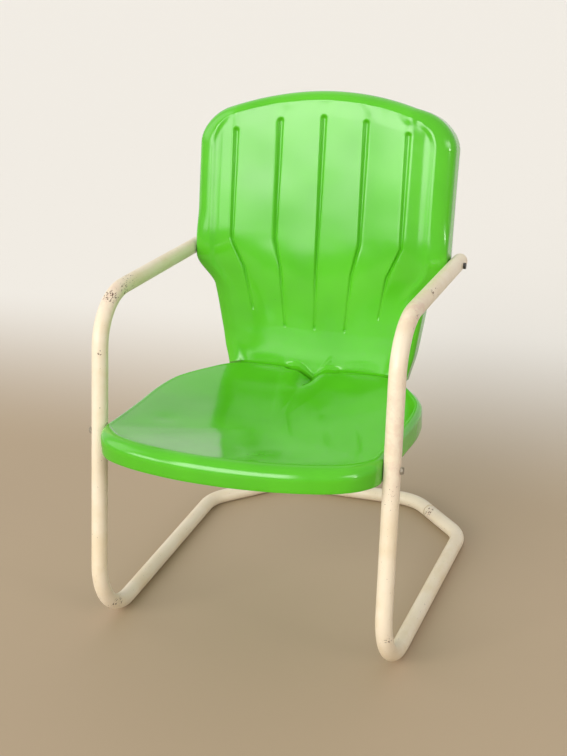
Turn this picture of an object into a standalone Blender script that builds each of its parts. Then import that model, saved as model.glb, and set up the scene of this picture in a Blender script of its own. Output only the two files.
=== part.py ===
"""Shell-back metal lawn chair on a bent tube frame.

Metres, +Z up, front of the chair towards -Y, origin on the floor under the
middle of the whole chair. Every sub-part is one named solid.
"""

import math

import bmesh
import bpy
from mathutils import Matrix, Vector

# Whole chair
CHAIR_DEPTH = 0.731
FIT_GAP = 0.0003

# Frame tube
TUBE_R = 0.0143
TUBE_WALL = 0.0016
TUBE_SIDES = 16
LEG_HALF = 0.2623
ARM_FRONT_HALF = 0.2630
ARM_END_HALF = 0.2658
BASE_CORNER_HALF = 0.2767
CROSSBAR_HALF = 0.1513
LEG_FOOT_SETBACK = 0.0570
ARM_FRONT_SETBACK = 0.1596
ARM_END_LEAD = 0.1620
BASE_CORNER_LEAD = 0.1431
ARM_FRONT_RISE = 0.0012
ARM_END_DROP = 0.0034
ARM_BEND_R = 0.100
FOOT_BEND_R = 0.100
CORNER_BEND_R = 0.070
CROSSBAR_BEND_R = 0.090
JOINT_ALONG_DIAGONAL = 0.122
SPIGOT_LENGTH = 0.018
SPIGOT_NECK = 0.006

# Pressed sheet
SHEET = 0.0012
LIP_GAP = 0.0007
PAD_GAP = 0.0002

# Seat pan
SEAT_RIM_Z = 0.383
SEAT_FRONT_RISE = 0.019
SEAT_SKIRT = 0.041
SEAT_ROLL_R = 0.010
SEAT_HEM = 0.004
SEAT_DISH = 0.020
SEAT_CENTRE_SETBACK = 0.2455
SEAT_SHOULDER_DROP = 0.001
SEAT_BULGE = 0.0019
CLEFT_DEPTH = 0.0200
CLEFT_HALF = 0.030
CLEFT_RUN = 0.085

# Back shell
BACK_TOP_Z = 0.9004
BACK_CROWN_R = 0.600
BACK_CORNER_R = 0.074
BACK_WIDE_HALF = 0.2525
BACK_NARROW_HALF = 0.2125
BACK_FOOT_HALF = 0.1885
LIP_RISE = 0.002
COVE_REACH = 0.0035
COVE_TOP_SHARE = 0.3377
RIM_FOOT_SHARE = 0.5349
HOLLOW_FOOT_SHARE = 0.5116
WAIST_LOW_SHARE = 0.6512
WAIST_Z = 0.600
WAIST_LEAD = 0.2065
BOLT_PAD_HALF = 0.0095
LOWER_SLOPE = 0.109
UPPER_SLOPE = 0.2263
HOLLOW = 0.0195
EDGE_RETURN = 0.0044
BORDER = 0.020
BORDER_RISE = 0.0024
RIM_WIDTH = 0.034
RIM_TOP_WIDTH = 0.019
RIM_DEPTH = 0.018
WALL_DEPTH = 0.037
WALL_FOOT_DEPTH = 0.030
BACK_HEM = 0.003
FLANGE_DROP = 0.040

# Pressed grooves of the back
GROOVE_OUTER_X = 0.1680
GROOVE_TOP_HALF = 0.0080
GROOVE_FOOT_HALF = 0.0040
GROOVE_DEPTH = 0.0055
GROOVE_FOOT_DEPTH = 0.0025
GROOVE_OUTER_FOOT_SHARE = 0.4777
GROOVE_BEND_BELOW = 0.030
GROOVE_BEND_ABOVE = 0.025
GROOVE_RUNOUT = 0.012
GROOVE_HEAD_SHARES = (2.45, 1.70)
PILLOW = 0.0015

# Fasteners
BOLT_R = 0.0030
HOLE_CLEARANCE = 0.0004
HEAD_FLATS = 0.0110
HEAD_HEIGHT = 0.0042
NUT_HEIGHT = 0.0050
WASHER_R = 0.0078
WASHER_THICK = 0.0012
THREAD_SPARE = 0.0025
SEAT_BOLT_DROP = 0.0102
ARM_BOLT_SETBACK = 0.0129
REAR_BOLT_X = (0.078, 0.112)
REAR_BOLT_DROP = 0.0255

# Arm end caps
CAP_DOME = 0.0095
CAP_PLUG = 0.014

TUBE_FLAT = TUBE_R * math.cos(math.pi / TUBE_SIDES)
SEAT_NOSE_Y = -CHAIR_DEPTH / 2
REAR_Y = CHAIR_DEPTH / 2
SEAT_CENTRE_Y = SEAT_NOSE_Y + SEAT_CENTRE_SETBACK
WAIST_Y = REAR_Y - WAIST_LEAD
BACK_FOOT_Z = SEAT_RIM_Z + LIP_RISE
SEAT_BOLT_Z = SEAT_RIM_Z - SEAT_BOLT_DROP
REAR_BOLT_Z = SEAT_RIM_Z - REAR_BOLT_DROP

LEG_FOOT = Vector((LEG_HALF, SEAT_NOSE_Y + LEG_FOOT_SETBACK, TUBE_FLAT))
ARM_FRONT = Vector((ARM_FRONT_HALF, SEAT_NOSE_Y + ARM_FRONT_SETBACK, WAIST_Z + ARM_FRONT_RISE))
ARM_END = Vector((ARM_END_HALF, REAR_Y - ARM_END_LEAD, WAIST_Z - ARM_END_DROP))
BASE_CORNER = Vector((BASE_CORNER_HALF, REAR_Y - BASE_CORNER_LEAD, TUBE_FLAT))
CROSSBAR_END = Vector((CROSSBAR_HALF, REAR_Y - TUBE_FLAT, TUBE_FLAT))


def along(start, end, axis, value):
    """Return the point of a straight line where one coordinate has a value."""
    share = (value - start[axis]) / (end[axis] - start[axis])
    return start.lerp(end, share)


SEAT_BOLT = along(LEG_FOOT, ARM_FRONT, 2, SEAT_BOLT_Z)
ARM_BOLT = along(ARM_FRONT, ARM_END, 1, WAIST_Y + ARM_BOLT_SETBACK)
SEAT_HALF_AT_LEG = SEAT_BOLT.x - TUBE_FLAT - FIT_GAP
BACK_HALF_AT_ARM = ARM_BOLT.x - TUBE_FLAT - FIT_GAP - PAD_GAP
WAIST_HIGH_Z = ARM_BOLT.z - BOLT_PAD_HALF


def smooth(share):
    """Return a smooth 0 to 1 step of a share that is held to 0..1."""
    share = min(1.0, max(0.0, share))
    return share * share * (3.0 - 2.0 * share)


def mix(first, second, share):
    """Return the linear mix of two numbers."""
    return first + (second - first) * share


COVE_TOP_Z = mix(BACK_FOOT_Z, WAIST_Z, COVE_TOP_SHARE)
GROOVE_OUTER_FOOT_Z = mix(BACK_FOOT_Z, WAIST_Z, GROOVE_OUTER_FOOT_SHARE)
RIM_FOOT_Z = mix(BACK_FOOT_Z, WAIST_Z, RIM_FOOT_SHARE)
HOLLOW_FOOT_Z = mix(BACK_FOOT_Z, WAIST_Z, HOLLOW_FOOT_SHARE)
WAIST_LOW_Z = mix(BACK_FOOT_Z, WAIST_Z, WAIST_LOW_SHARE)


def material(name, color, metallic, roughness):
    """Return a named Principled material."""
    result = bpy.data.materials.new(name)
    result.use_nodes = True
    shader = result.node_tree.nodes["Principled BSDF"]
    shader.inputs["Base Color"].default_value = (*color, 1.0)
    shader.inputs["Metallic"].default_value = metallic
    shader.inputs["Roughness"].default_value = roughness
    result.diffuse_color = (*color, 1.0)
    return result


def new_object(name, mesh, collection, finish=None):
    """Return a new object of a mesh in a collection."""
    result = bpy.data.objects.new(name, mesh)
    collection.objects.link(result)
    if finish is not None:
        mesh.materials.clear()
        mesh.materials.append(finish)
    return result


def shade(mesh, angle=40.0):
    """Shade a mesh smooth with sharp edges above an angle in degrees."""
    mesh.shade_smooth()
    mesh.set_sharp_from_angle(angle=math.radians(angle))


def solidify(target, thickness):
    """Give an open surface its sheet thickness on the inner side."""
    modifier = target.modifiers.new("sheet", "SOLIDIFY")
    modifier.thickness = thickness
    modifier.offset = -1.0
    modifier.use_even_offset = True
    modifier.use_rim = True


def mirror(target):
    """Complete a half mesh about the X = 0 plane."""
    modifier = target.modifiers.new("mirror", "MIRROR")
    modifier.use_axis = (True, False, False)
    modifier.use_clip = True
    modifier.merge_threshold = 0.0001


def cylinder_mesh(name, radius, length, sides):
    """Return a closed cylinder about Z from z = 0 to its length."""
    builder = bmesh.new()
    bmesh.ops.create_cone(
        builder,
        cap_ends=True,
        segments=sides,
        radius1=radius,
        radius2=radius,
        depth=length,
        matrix=Matrix.Translation((0.0, 0.0, length / 2)),
    )
    mesh = bpy.data.meshes.new(name)
    builder.to_mesh(mesh)
    builder.free()
    return mesh


def drill(target, point, direction, length, radius, cutters):
    """Cut a round hole through a solid along a direction from a point."""
    mesh = cylinder_mesh(target.name + "_drill", radius, length, 10)
    cutter = new_object(target.name + "_drill", mesh, cutters)
    cutter.location = point
    cutter.rotation_euler = Vector(direction).to_track_quat("Z", "Y").to_euler()
    cutter.hide_render = True
    cutter.display_type = "WIRE"
    modifier = target.modifiers.new("hole", "BOOLEAN")
    modifier.operation = "DIFFERENCE"
    modifier.solver = "EXACT"
    modifier.object = cutter


def filleted(corners, radii, steps):
    """Return a polyline through corners with circular arcs at the inner ones."""
    points = [corners[0].copy()]
    for index in range(1, len(corners) - 1):
        corner = corners[index]
        back = (corners[index - 1] - corner).normalized()
        ahead = (corners[index + 1] - corner).normalized()
        half = back.angle(ahead) / 2
        radius = radii[index - 1]
        middle = corner + (back + ahead).normalized() * (radius / math.sin(half))
        first = corner + back * (radius / math.tan(half)) - middle
        axis = back.cross(ahead).normalized()
        turn = -(math.pi - 2 * half)
        count = steps[index - 1]
        for step in range(count + 1):
            spin = Matrix.Rotation(turn * step / count, 3, axis)
            points.append(middle + spin @ first)
    points.append(corners[-1].copy())
    return points


def mirrored(point):
    """Return a point on the other side of the X = 0 plane."""
    return Vector((-point.x, point.y, point.z))


def tube(name, points, radii, collection, finish):
    """Return a hollow tube along a polyline, with a radius share per point."""
    curve = bpy.data.curves.new(name, "CURVE")
    curve.dimensions = "3D"
    curve.twist_mode = "MINIMUM"
    curve.bevel_depth = TUBE_R
    curve.bevel_resolution = (TUBE_SIDES - 4) // 2
    curve.use_fill_caps = False
    spline = curve.splines.new("POLY")
    spline.points.add(len(points) - 1)
    for place, point, share in zip(spline.points, points, radii):
        place.co = (*point, 1.0)
        place.radius = share
        place.tilt = math.pi / TUBE_SIDES
    source = new_object(name + "_curve", curve, collection)
    bpy.context.view_layer.update()
    evaluated = source.evaluated_get(bpy.context.evaluated_depsgraph_get())
    mesh = bpy.data.meshes.new_from_object(evaluated)
    mesh.name = name
    builder = bmesh.new()
    builder.from_mesh(mesh)
    bmesh.ops.remove_doubles(builder, verts=builder.verts[:], dist=0.00001)
    bmesh.ops.recalc_face_normals(builder, faces=builder.faces[:])
    for vert in builder.verts:
        if vert.co.z < FIT_GAP:
            vert.co.z = 0.0
    builder.to_mesh(mesh)
    builder.free()
    bpy.data.objects.remove(source)
    shade(mesh)
    return new_object(name, mesh, collection, finish)


def frame_tubes(collection, cutters, finish):
    """Build the two bent tubes that plug together in the right diagonal."""
    side = [ARM_END, ARM_FRONT, LEG_FOOT, BASE_CORNER, CROSSBAR_END]
    diagonal = (CROSSBAR_END - BASE_CORNER).normalized()
    joint = BASE_CORNER + diagonal * JOINT_ALONG_DIAGONAL
    radii = [ARM_BEND_R, FOOT_BEND_R, CORNER_BEND_R, CROSSBAR_BEND_R]
    long_corners = [mirrored(point) for point in side] + [CROSSBAR_END, joint]
    long_points = filleted(long_corners, radii + [CROSSBAR_BEND_R], (6, 6, 4, 4, 4))
    long_tube = tube("frame_tube_long", long_points, [1.0] * len(long_points), collection, finish)
    solidify(long_tube, TUBE_WALL)

    neck = joint - diagonal * SPIGOT_NECK
    mouth = joint - diagonal * (SPIGOT_NECK * 0.15)
    tip = joint + diagonal * SPIGOT_LENGTH
    short_points = filleted(side[:4] + [neck], radii[:3], (6, 6, 4)) + [mouth, tip]
    spigot = (TUBE_R - TUBE_WALL - FIT_GAP) / TUBE_R
    shares = [1.0] * (len(short_points) - 2) + [spigot, spigot]
    short_tube = tube("frame_tube_short", short_points, shares, collection, finish)
    solidify(short_tube, TUBE_WALL)

    reach = 4 * TUBE_R
    radius = BOLT_R + HOLE_CLEARANCE
    for target, sign in ((long_tube, -1.0), (short_tube, 1.0)):
        for bolt in (SEAT_BOLT, ARM_BOLT):
            start = Vector(((bolt.x - reach / 2) * sign, bolt.y, bolt.z))
            drill(target, start, (sign, 0.0, 0.0), reach, radius, cutters)


def seat_outline():
    """Return the half outline of the seat from the nose to the rear middle."""
    leg = SEAT_BOLT.y
    rear = WAIST_Y - LOWER_SLOPE * (WAIST_Z - BACK_FOOT_Z) - COVE_REACH
    half = SEAT_HALF_AT_LEG
    wide = BACK_WIDE_HALF + SEAT_BULGE
    nose = SEAT_NOSE_Y
    ahead = leg - nose
    run = rear - leg
    foot = BACK_FOOT_HALF
    corners = (
        (0.0, nose), (0.2013 * half, nose + 0.0167 * ahead), (0.4026 * half, nose + 0.0752 * ahead),
        (0.6039 * half, nose + 0.1755 * ahead), (0.7730 * half, nose + 0.3093 * ahead),
        (0.8938 * half, nose + 0.4764 * ahead), (0.9718 * half, nose + 0.6937 * ahead),
        (half, leg - TUBE_R), (half, leg + TUBE_R), (mix(half, wide, 0.20), leg + 0.1588 * run),
        (mix(half, wide, 0.58), leg + 0.3307 * run), (wide, leg + 0.5160 * run),
        (0.9745 * wide, leg + 0.6668 * run), (0.9135 * wide, leg + 0.7647 * run),
        (0.8230 * wide, leg + 0.8547 * run), (0.9708 * foot, leg + 0.9418 * run),
        (0.8382 * foot, leg + 0.9802 * run), (0.6605 * foot, rear), (0.3395 * foot, rear),
        (0.2334 * foot, rear - 0.55 * CLEFT_DEPTH), (0.1167 * foot, rear - 0.70 * CLEFT_DEPTH),
        (0.0531 * foot, rear - 0.65 * CLEFT_DEPTH), (0.0, rear - 0.50 * CLEFT_DEPTH),
    )
    points = []
    count = len(corners)
    for index in range(count - 1):
        before = corners[index - 1] if index else (-corners[1][0], corners[1][1])
        after = corners[index + 2] if index + 2 < count else (-corners[-2][0], corners[-2][1])
        start = corners[index]
        end = corners[index + 1]
        straight = math.dist(start, end) < 4 * TUBE_R or start[1] > leg + 0.8 * run
        for share in ((0.0,) if straight else (0.0, 0.5)):
            points.append(tuple(
                spline_value(before[k], start[k], end[k], after[k], share) for k in (0, 1)
            ))
    points.append(corners[-1])
    return points


def spline_value(before, start, end, after, share):
    """Return one coordinate of a spline that passes through its points."""
    square = share * share
    cube = square * share
    return 0.5 * (
        2 * start + (end - before) * share
        + (2 * before - 5 * start + 4 * end - after) * square
        + (3 * start - before - 3 * end + after) * cube
    )


def seat_rear_y(x):
    """Return how far back the seat's rear edge reaches at a distance from the middle."""
    outline = seat_outline()
    rear = [point for point in outline if point[1] > SEAT_CENTRE_Y]
    for first, second in zip(rear, rear[1:]):
        if second[0] <= abs(x) <= first[0]:
            share = (abs(x) - second[0]) / max(1e-9, first[0] - second[0])
            return mix(second[1], first[1], share)
    return rear[0][1]


def rim_height(y):
    """Return the height of the seat's rolled rim at a depth of the chair."""
    return SEAT_RIM_Z + SEAT_FRONT_RISE * (min(0.0, y) / SEAT_NOSE_Y) ** 2


def cleft(x, y):
    """Return how deep the pressed cleft of the seat is at a plan position."""
    rear = seat_outline()[-1][1]
    across = max(0.0, 1.0 - abs(x) / CLEFT_HALF)
    return CLEFT_DEPTH * across ** 1.4 * smooth((y - rear + CLEFT_RUN) / CLEFT_RUN)


def inset(points, distance):
    """Return a half outline moved inwards by a distance."""
    moved = []
    last = len(points) - 1
    for index, (x, y) in enumerate(points):
        ahead = points[index + 1] if index < last else (-points[index - 1][0], points[index - 1][1])
        back = points[index - 1] if index else (-points[1][0], points[1][1])
        tangent = Vector((ahead[0] - back[0], ahead[1] - back[1])).normalized()
        place = Vector((x, y)) + Vector((-tangent.y, tangent.x)) * distance
        moved.append((0.0 if index in (0, last) else place.x, place.y))
    return moved


def seat_pan(collection, cutters, finish):
    """Build the dished seat with its rolled rim, skirt and rear cleft."""
    outline = seat_outline()
    roll = SEAT_ROLL_R
    slant = math.sqrt(0.5)
    rings = [
        (inset(outline, SEAT_HEM), -SEAT_SKIRT, 0.0),
        (outline, -SEAT_SKIRT, 0.0),
        (outline, -roll, 1.0),
        (inset(outline, roll * (1 - slant)), -roll * (1 - slant), 1.0),
        (inset(outline, roll), 0.0, 1.0),
    ]
    inner = inset(outline, roll * 1.9)
    builder = bmesh.new()
    rows = []
    for ring, drop, share in rings:
        row = []
        for (x, y), (edge_x, edge_y) in zip(ring, outline):
            height = rim_height(edge_y) + drop - share * cleft(edge_x, edge_y)
            row.append(builder.verts.new((x, y, height)))
        rows.append(row)
    for scale in (1.0, 0.84, 0.62, 0.34):
        row = []
        for x, y in inner:
            px = x * scale
            py = mix(SEAT_CENTRE_Y, y, scale)
            height = rim_height(py) - SEAT_DISH * (1 - scale * scale) - SEAT_SHOULDER_DROP - cleft(px, py)
            row.append(builder.verts.new((px, py, height)))
        rows.append(row)
    for low, high in zip(rows, rows[1:]):
        for index in range(len(low) - 1):
            builder.faces.new((low[index], low[index + 1], high[index + 1], high[index]))
    centre_z = rim_height(SEAT_CENTRE_Y) - SEAT_DISH - SEAT_SHOULDER_DROP
    centre = builder.verts.new((0.0, SEAT_CENTRE_Y, centre_z))
    for index in range(len(rows[-1]) - 1):
        builder.faces.new((rows[-1][index], rows[-1][index + 1], centre))
    bmesh.ops.recalc_face_normals(builder, faces=builder.faces[:])
    mesh = bpy.data.meshes.new("seat_pan")
    builder.to_mesh(mesh)
    builder.free()
    shade(mesh, 35.0)
    seat = new_object("seat_pan", mesh, collection, finish)
    mirror(seat)
    solidify(seat, SHEET)
    radius = BOLT_R + HOLE_CLEARANCE
    for sign in (-1.0, 1.0):
        start = Vector(((SEAT_HALF_AT_LEG - 0.02) * sign, SEAT_BOLT.y, SEAT_BOLT.z))
        drill(seat, start, (sign, 0.0, 0.0), 0.03, radius, cutters)
        for x in REAR_BOLT_X:
            start = Vector((x * sign, seat_rear_y(x) - 0.02, REAR_BOLT_Z))
            drill(seat, start, (0.0, 1.0, 0.0), 0.03, radius, cutters)
    return seat


def back_half(z):
    """Return the half width of the back shell at a height below its crown."""
    if z <= WAIST_LOW_Z:
        share = (z - BACK_FOOT_Z) / (WAIST_LOW_Z - BACK_FOOT_Z)
        return mix(BACK_FOOT_HALF, BACK_NARROW_HALF, share)
    if z <= WAIST_HIGH_Z:
        share = (z - WAIST_LOW_Z) / (WAIST_HIGH_Z - WAIST_LOW_Z)
        return mix(BACK_NARROW_HALF, BACK_HALF_AT_ARM, smooth(share))
    share = (z - WAIST_HIGH_Z) / (BACK_TOP_Z - BACK_CORNER_R - WAIST_HIGH_Z)
    return mix(BACK_HALF_AT_ARM, BACK_WIDE_HALF, min(1.0, share))


def field_top(x):
    """Return the height of the rim's inner edge at a distance from the middle."""
    radius = BACK_CORNER_R - RIM_WIDTH
    start = BACK_WIDE_HALF - BACK_CORNER_R
    crown = BACK_TOP_Z - RIM_TOP_WIDTH - x * x / (2 * BACK_CROWN_R)
    beyond = min(radius, max(0.0, x - start))
    return crown - radius + math.sqrt(radius * radius - beyond * beyond)


def groove_narrowing(z):
    """Return how far the grooves have drawn in at a height, as a share."""
    low = WAIST_Z - GROOVE_BEND_BELOW
    high = WAIST_Z + GROOVE_BEND_ABOVE
    if z >= high:
        return 1.0
    if z >= low:
        return mix(0.845, 1.0, (z - low) / (high - low))
    return mix(0.720, 0.845, max(0.0, (z - COVE_TOP_Z) / (low - COVE_TOP_Z)))


def back_line(z):
    """Return the depth of the back's middle at a height, bent where the grooves bend."""
    fold = WAIST_Z - GROOVE_BEND_BELOW
    above = WAIST_Y + (max(z, fold) - WAIST_Z) * UPPER_SLOPE
    return above + min(0.0, z - fold) * LOWER_SLOPE


def back_columns():
    """Return the columns of the half field as groove, panel and corner places."""
    columns = [("groove", 0, 0.0), ("groove", 0, 0.45), ("groove", 0, 1.0), ("panel", 0, 0.5)]
    for index in (1, 2):
        columns += [("groove", index, share) for share in (-1.0, -0.45, 0.45, 1.0)]
        if index == 1:
            columns.append(("panel", 1, 0.5))
    columns += [("edge", 0, share) for share in (0.40, 0.72, 0.92, 1.0)]
    return columns


def back_column_x(column, z):
    """Return the distance from the middle of a column of the field at a height."""
    kind, index, share = column
    step = GROOVE_OUTER_X / 2 * groove_narrowing(z)
    tall = smooth((z - COVE_TOP_Z) / (BACK_TOP_Z - COVE_TOP_Z))
    half = mix(GROOVE_FOOT_HALF, GROOVE_TOP_HALF, tall)
    if kind == "groove":
        return index * step + share * half
    if kind == "panel":
        return (index + share) * step
    return mix(2 * step + half, back_half(z) - RIM_WIDTH, share)


def groove_share(column, z, below_top):
    """Return how much of the groove's depth a place has."""
    kind, index, share = column
    if kind != "groove" or abs(share) > 0.9:
        return 0.0
    foot = GROOVE_OUTER_FOOT_Z if index == 2 else COVE_TOP_Z
    lower = smooth((z - foot) / GROOVE_RUNOUT)
    full, end = GROOVE_HEAD_SHARES
    upper = smooth((below_top / GROOVE_RUNOUT - end) / (full - end))
    return lower * upper


def hollow(x, z):
    """Return how far forward of its middle the field stands at a place."""
    reach = GROOVE_OUTER_X * groove_narrowing(z)
    low = smooth((z - COVE_TOP_Z) / (0.37 * (WAIST_Z - BACK_FOOT_Z)))
    high = smooth((z - HOLLOW_FOOT_Z) / (1.43 * (WAIST_Z - HOLLOW_FOOT_Z)))
    share = 0.2 * low + 0.8 * high
    if x <= reach:
        return share * HOLLOW * (x / reach) ** 2
    edge = back_half(z) - RIM_WIDTH
    beyond = smooth((x - reach) / max(0.6 * BORDER, edge - BORDER - reach))
    return share * (HOLLOW - EDGE_RETURN * beyond)


def border_lift(x, z):
    """Return how far forward the field curves up where it meets the side rims."""
    corner = BACK_CORNER_R - RIM_WIDTH
    crown = BACK_TOP_Z - RIM_TOP_WIDTH - x * x / (2 * BACK_CROWN_R)
    aside = x - back_half(z) + RIM_WIDTH + corner
    above = max(0.0, z - crown + corner)
    if aside <= 0.0:
        return 0.0
    raised = smooth((z - RIM_FOOT_Z) / (WAIST_Z - RIM_FOOT_Z)) * smooth(aside / math.hypot(aside, above))
    return raised * BORDER_RISE * smooth((math.hypot(aside, above) - corner + BORDER) / BORDER)


def field_point(column, row):
    """Return a point of the back's pressed field and of its rim's inner edge."""
    kind, level = row
    if kind == "level":
        z = level
        x = back_column_x(column, z)
    elif kind == "top":
        x = back_column_x(column, BACK_TOP_Z - BACK_CORNER_R)
        z = field_top(x) - level
    else:
        x = back_column_x(column, mix(BACK_FOOT_Z, COVE_TOP_Z, level))
        z = mix(BACK_FOOT_Z - cleft(x, seat_rear_y(x)), COVE_TOP_Z, level)
    below_top = field_top(min(x, BACK_WIDE_HALF - RIM_WIDTH)) - z
    depth = back_line(z) - hollow(x, z) - border_lift(x, z)
    raised = smooth((z - RIM_FOOT_Z) / (1.2 * (WAIST_Z - RIM_FOOT_Z)))
    pressed = mix(GROOVE_FOOT_DEPTH, GROOVE_DEPTH, raised)
    depth += pressed * groove_share(column, z, below_top)
    if column[0] == "panel" and kind == "level" and z > COVE_TOP_Z:
        depth -= PILLOW
    if kind == "cove":
        lip = seat_rear_y(x) + LIP_GAP
        start = back_line(z) - lip
        depth = back_line(z) - start * (1.0 - level) ** 2
    return Vector((x, depth, z))


def wall_depth(z):
    """Return how deep the back's side wall is at a height."""
    share = (z - WAIST_LOW_Z) / (WAIST_HIGH_Z - WAIST_LOW_Z)
    return mix(WALL_FOOT_DEPTH, WALL_DEPTH, smooth(share))


def rim_profile(z):
    """Return the rim's section at a height as (outward, backward) steps."""
    steps = []
    for degrees in (22.0, 44.0, 66.0, 90.0):
        turn = math.radians(degrees)
        steps.append((RIM_WIDTH * math.sin(turn), RIM_DEPTH * (1 - math.cos(turn))))
    steps.append((RIM_WIDTH, steps[-1][1] + wall_depth(z)))
    steps.append((RIM_WIDTH - BACK_HEM, steps[-1][1] + BACK_HEM * 0.4))
    return steps


def back_shell(collection, cutters, finish):
    """Build the grooved back with its raised rim, deep walls and lower flange."""
    columns = back_columns()
    rows = [("cove", 0.0), ("cove", 0.45)]
    levels = [
        COVE_TOP_Z, COVE_TOP_Z + GROOVE_RUNOUT, GROOVE_OUTER_FOOT_Z, GROOVE_OUTER_FOOT_Z + GROOVE_RUNOUT,
        mix(BACK_FOOT_Z, WAIST_Z, 0.70), WAIST_Z - GROOVE_BEND_BELOW, WAIST_HIGH_Z,
        ARM_BOLT.z + BOLT_PAD_HALF, WAIST_Z + GROOVE_BEND_ABOVE,
    ]
    corner_z = field_top(BACK_WIDE_HALF - RIM_WIDTH) - GROOVE_HEAD_SHARES[0] * GROOVE_RUNOUT
    levels += [mix(levels[-1], corner_z, share) for share in (0.45, 0.90)]
    rows += [("level", z) for z in levels]
    rows += [("top", share * GROOVE_RUNOUT) for share in (*GROOVE_HEAD_SHARES, 0.0)]
    builder = bmesh.new()
    grid = []
    for row in rows:
        grid.append([builder.verts.new(field_point(column, row)) for column in columns])
    for low, high in zip(grid, grid[1:]):
        for index in range(len(columns) - 1):
            builder.faces.new((low[index], low[index + 1], high[index + 1], high[index]))

    edge = [("foot", vert) for vert in grid[0][:-1]]
    edge += [("corner", grid[0][-1])]
    edge += [("side", row[-1]) for row in grid[1:]]
    edge += [("top", vert) for vert in reversed(grid[-1][:-1])]
    places = [vert.co.copy() for _, vert in edge]
    count = len(rim_profile(WAIST_Z))
    loops = [[vert for _, vert in edge]]
    for step in range(count):
        ring = []
        for index, (kind, _) in enumerate(edge):
            place = places[index]
            before = places[index - 1] if index else mirrored(places[1])
            after = places[index + 1] if index + 1 < len(edge) else mirrored(places[-2])
            along_edge = Vector((after.x - before.x, after.z - before.z)).normalized()
            out = Vector((along_edge.y, -along_edge.x))
            if kind == "side":
                out = Vector((1.0, 0.0))
            outward, backward = rim_profile(place.z)[step]
            outward *= mix(1.0, RIM_TOP_WIDTH / RIM_WIDTH, max(0.0, out.y) ** 2)
            leaning = (place.z - WAIST_Z) / (BACK_TOP_Z - WAIST_Z)
            lean = UPPER_SLOPE * smooth((leaning - 0.33) / 0.47)
            side = Vector((out.x * outward, backward + out.y * outward * UPPER_SLOPE,
                           out.y * outward - backward * lean))
            drop = Vector((0.0, 0.0, -FLANGE_DROP * (step + 1) / count))
            if kind == "foot":
                offset = drop
            elif kind == "corner":
                offset = side * 0.8 + drop * 0.5
            else:
                offset = side
            point = place + offset
            if index in (0, len(edge) - 1):
                point.x = 0.0
            ring.append(builder.verts.new(point))
        loops.append(ring)
    for inner, outer in zip(loops, loops[1:]):
        for index in range(len(edge) - 1):
            builder.faces.new((inner[index + 1], inner[index], outer[index], outer[index + 1]))
    bmesh.ops.recalc_face_normals(builder, faces=builder.faces[:])
    mesh = bpy.data.meshes.new("back_shell")
    builder.to_mesh(mesh)
    builder.free()
    shade(mesh, 35.0)
    shell = new_object("back_shell", mesh, collection, finish)
    mirror(shell)
    solidify(shell, SHEET)
    radius = BOLT_R + HOLE_CLEARANCE
    for sign in (-1.0, 1.0):
        start = Vector(((BACK_HALF_AT_ARM - 0.012) * sign, ARM_BOLT.y, ARM_BOLT.z))
        drill(shell, start, (sign, 0.0, 0.0), 0.02, radius, cutters)
        for x in REAR_BOLT_X:
            start = Vector((x * sign, seat_rear_y(x) - 0.02, REAR_BOLT_Z))
            drill(shell, start, (0.0, 1.0, 0.0), 0.03, radius, cutters)
    return shell


def circle(radius):
    """Return the plan points of a twelve-sided round section."""
    return [Vector((math.cos(a), math.sin(a), 0.0)) * radius for a in twelfths()]


def hexagon(flats):
    """Return the plan points of a hexagon with a point in the middle of each side."""
    corner = flats / 2 / math.cos(math.pi / 6)
    return [
        Vector((math.cos(a), math.sin(a), 0.0)) * (flats / 2 if index % 2 else corner)
        for index, a in enumerate(twelfths())
    ]


def twelfths():
    """Return the twelve angles of a turn."""
    return [index * math.pi / 6 for index in range(12)]


def loft(name, sections, ring):
    """Return a closed solid lofted through (plan points, height) sections."""
    builder = bmesh.new()
    loops = [[builder.verts.new((p.x, p.y, z)) for p in plan] for plan, z in sections]
    pairs = list(zip(loops, loops[1:]))
    if ring:
        pairs.append((loops[-1], loops[0]))
    else:
        builder.faces.new(loops[0])
        builder.faces.new(loops[-1])
    for low, high in pairs:
        for index in range(len(low)):
            following = (index + 1) % len(low)
            builder.faces.new((low[index], low[following], high[following], high[index]))
    bmesh.ops.recalc_face_normals(builder, faces=builder.faces[:])
    mesh = bpy.data.meshes.new(name)
    builder.to_mesh(mesh)
    builder.free()
    shade(mesh)
    return mesh


def bolt_mesh(name, length):
    """Return a hex bolt: its head below z = 0 and its shank up to a length."""
    sections = [
        (hexagon(HEAD_FLATS), -HEAD_HEIGHT),
        (hexagon(HEAD_FLATS), 0.0),
        (circle(BOLT_R), 0.0),
        (circle(BOLT_R), length),
    ]
    return loft(name, sections, False)


def nut_mesh(name):
    """Return a hex nut that stands on z = 0, with a clear bore."""
    bore = circle(BOLT_R + HOLE_CLEARANCE)
    outer = hexagon(HEAD_FLATS)
    return loft(name, [(outer, 0.0), (outer, NUT_HEIGHT), (bore, NUT_HEIGHT), (bore, 0.0)], True)


def turned(name, profile, steps, collection, finish):
    """Return a solid turned about Z from a profile at +X."""
    builder = bmesh.new()
    verts = [builder.verts.new((x, 0.0, z)) for x, z in profile]
    for first, second in zip(verts, verts[1:]):
        builder.edges.new((first, second))
    mesh = bpy.data.meshes.new(name)
    builder.to_mesh(mesh)
    builder.free()
    target = new_object(name, mesh, collection, finish)
    modifier = target.modifiers.new("turn", "SCREW")
    modifier.angle = 2 * math.pi
    modifier.steps = steps
    modifier.render_steps = steps
    modifier.use_merge_vertices = True
    modifier.merge_threshold = 0.00005
    modifier.use_smooth_shade = True
    return target


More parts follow.
